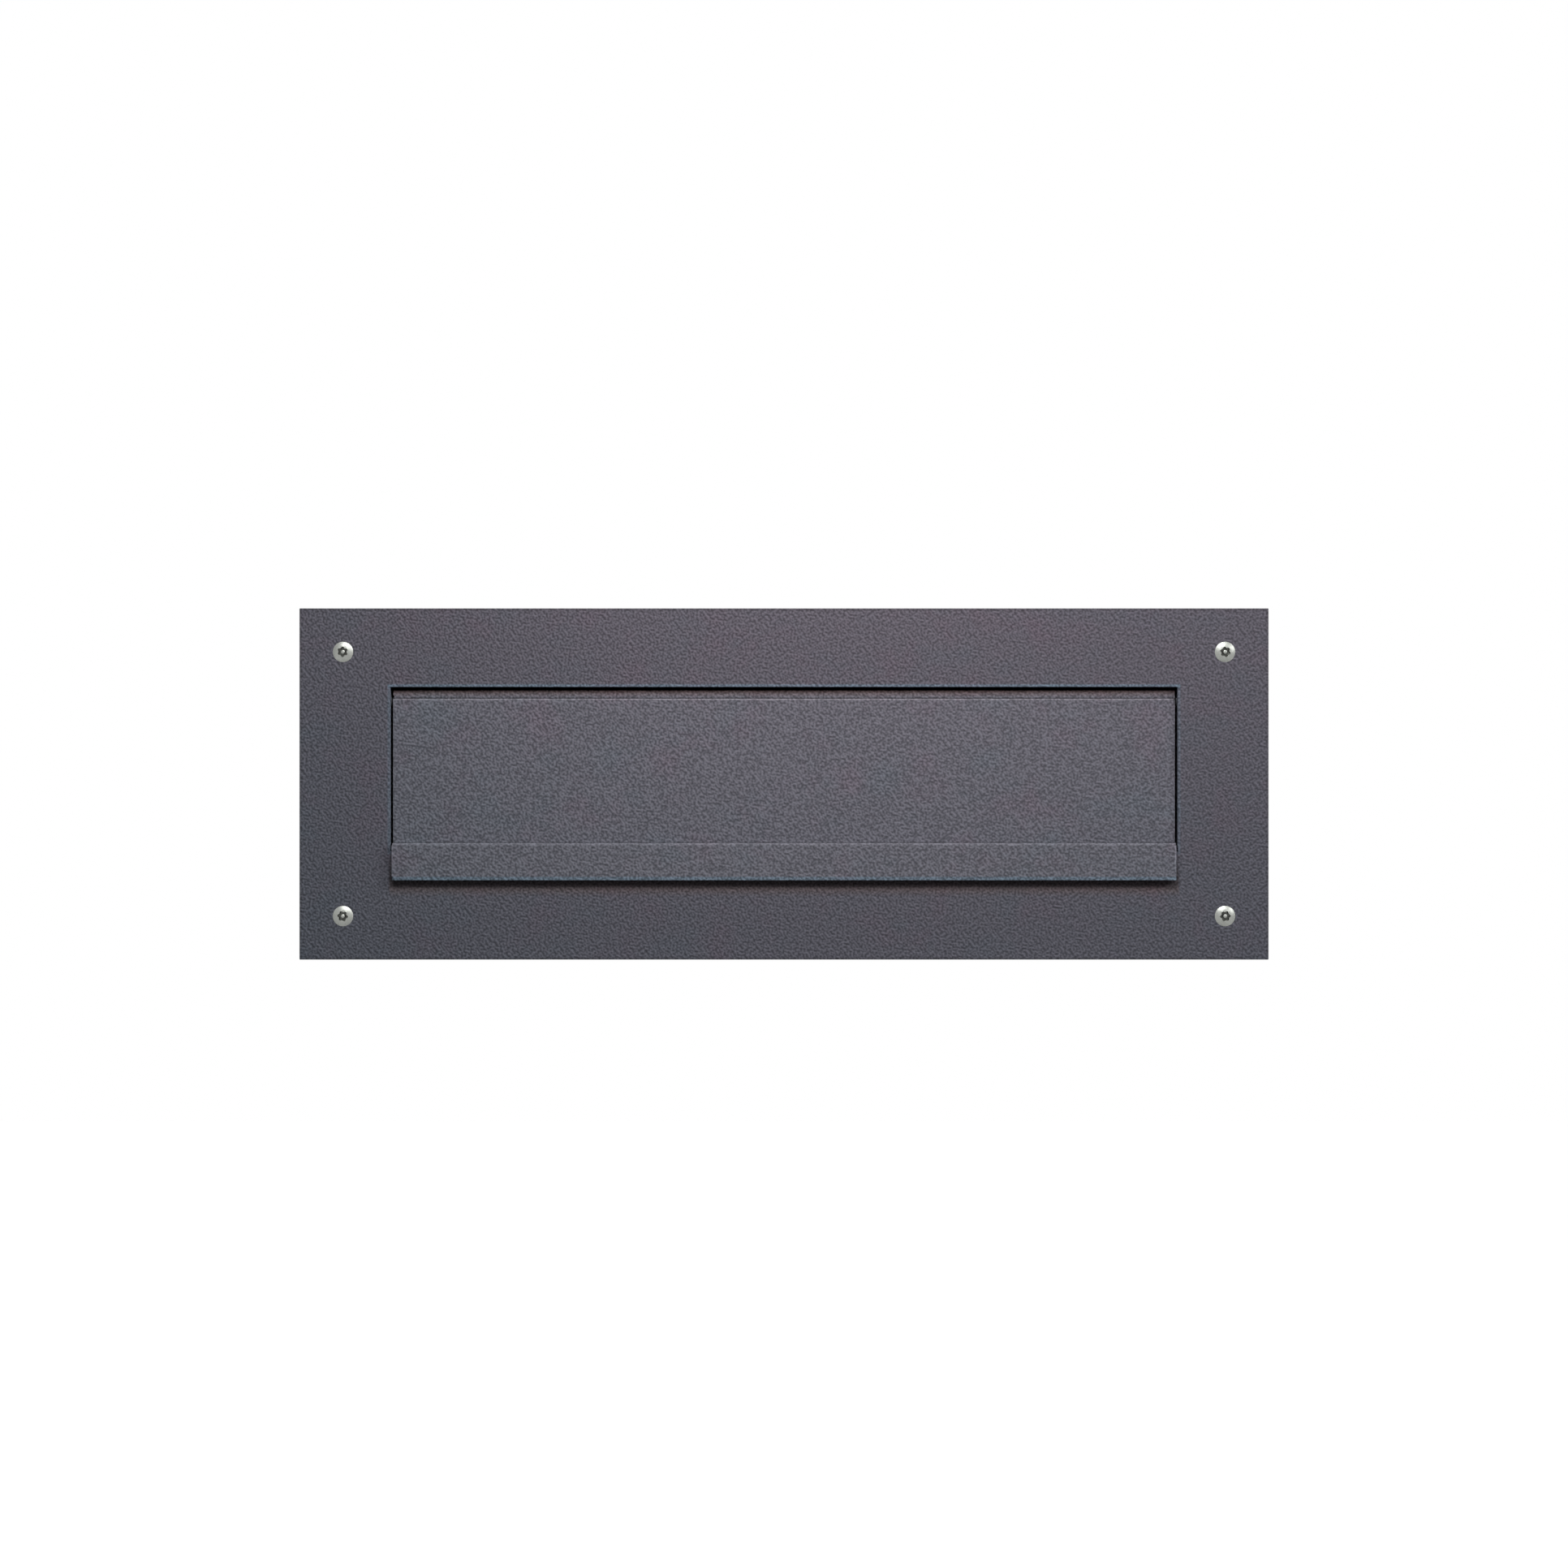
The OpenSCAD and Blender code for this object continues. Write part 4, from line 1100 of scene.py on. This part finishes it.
# --- Door hinges -------------------------------------------------------------
# Two small stainless hinges, 30 mm high, spot welded to the trim and to the door's edge. Their
# pins are riveted over at both ends.
slot_of = {sub["node"]: sub["material_slot"] for sub in frame["record"]["subparts"]}


def soften(node, name, width, material):
    """A copy of a machined piece with its sharp edges broken."""
    source = frame["nodes"][node]
    piece = source.copy()
    piece.data = source.data.copy()
    bpy.context.scene.collection.objects.link(piece)
    piece.parent = None
    piece.name = name
    for key in list(piece.keys()):
        del piece[key]
    edit(piece)
    bpy.ops.mesh.select_all(action="SELECT")
    bpy.ops.mesh.remove_doubles(threshold=0.000002)
    bpy.ops.mesh.dissolve_limited(angle_limit=math.radians(1))
    bpy.ops.object.mode_set(mode="OBJECT")
    round_edges(piece, width, 2, 35)
    place_piece(piece, source["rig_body"], slot_of[node], material, node)


hinge_steel = make_bright_metal("brushed_stainless", (0.6, 0.6, 0.59), 0.3, (2600, 2600, 60))
soften("hinge_trim_leaves", "trim_hinge_leaves", 0.0002, hinge_steel)
soften("hinge_door_leaves", "door_hinge_leaves", 0.0002, hinge_steel)
soften("hinge_pins", "riveted_pins", 0.0003, spring_steel)


# --- Cam lock ----------------------------------------------------------------
# A plated cylinder lock through the door, held behind it by a hexagonal nut. Its plug turns a
# flat steel cam behind the box's inner frame, screwed on its square end.
lock_chrome = make_bright_metal("plated_lock", (0.62, 0.62, 0.63), 0.16, (300, 300, 300), 0.05)
soften("lock_body", "lock_barrel", 0.0003, lock_chrome)
soften("lock_nut", "barrel_nut", 0.0003, zinc_plate)
soften("lock_plug", "keyed_plug", 0.00025, lock_chrome)
soften("lock_cam", "steel_cam", 0.0002, zinc_plate)
soften("cam_screw", "cam_fixing", 0.0002, zinc_plate)


# --- Key ---------------------------------------------------------------------
# A flat nickel-plated brass key, 2 mm thick, with a round bow and four notches along its blade. It
# stands in the plug and is drawn straight out.
key_nickel = make_bright_metal("nickel_plated_key", (0.66, 0.63, 0.57), 0.27, (900, 900, 900), 0.1)
soften("key", "flat_key", 0.00025, key_nickel)
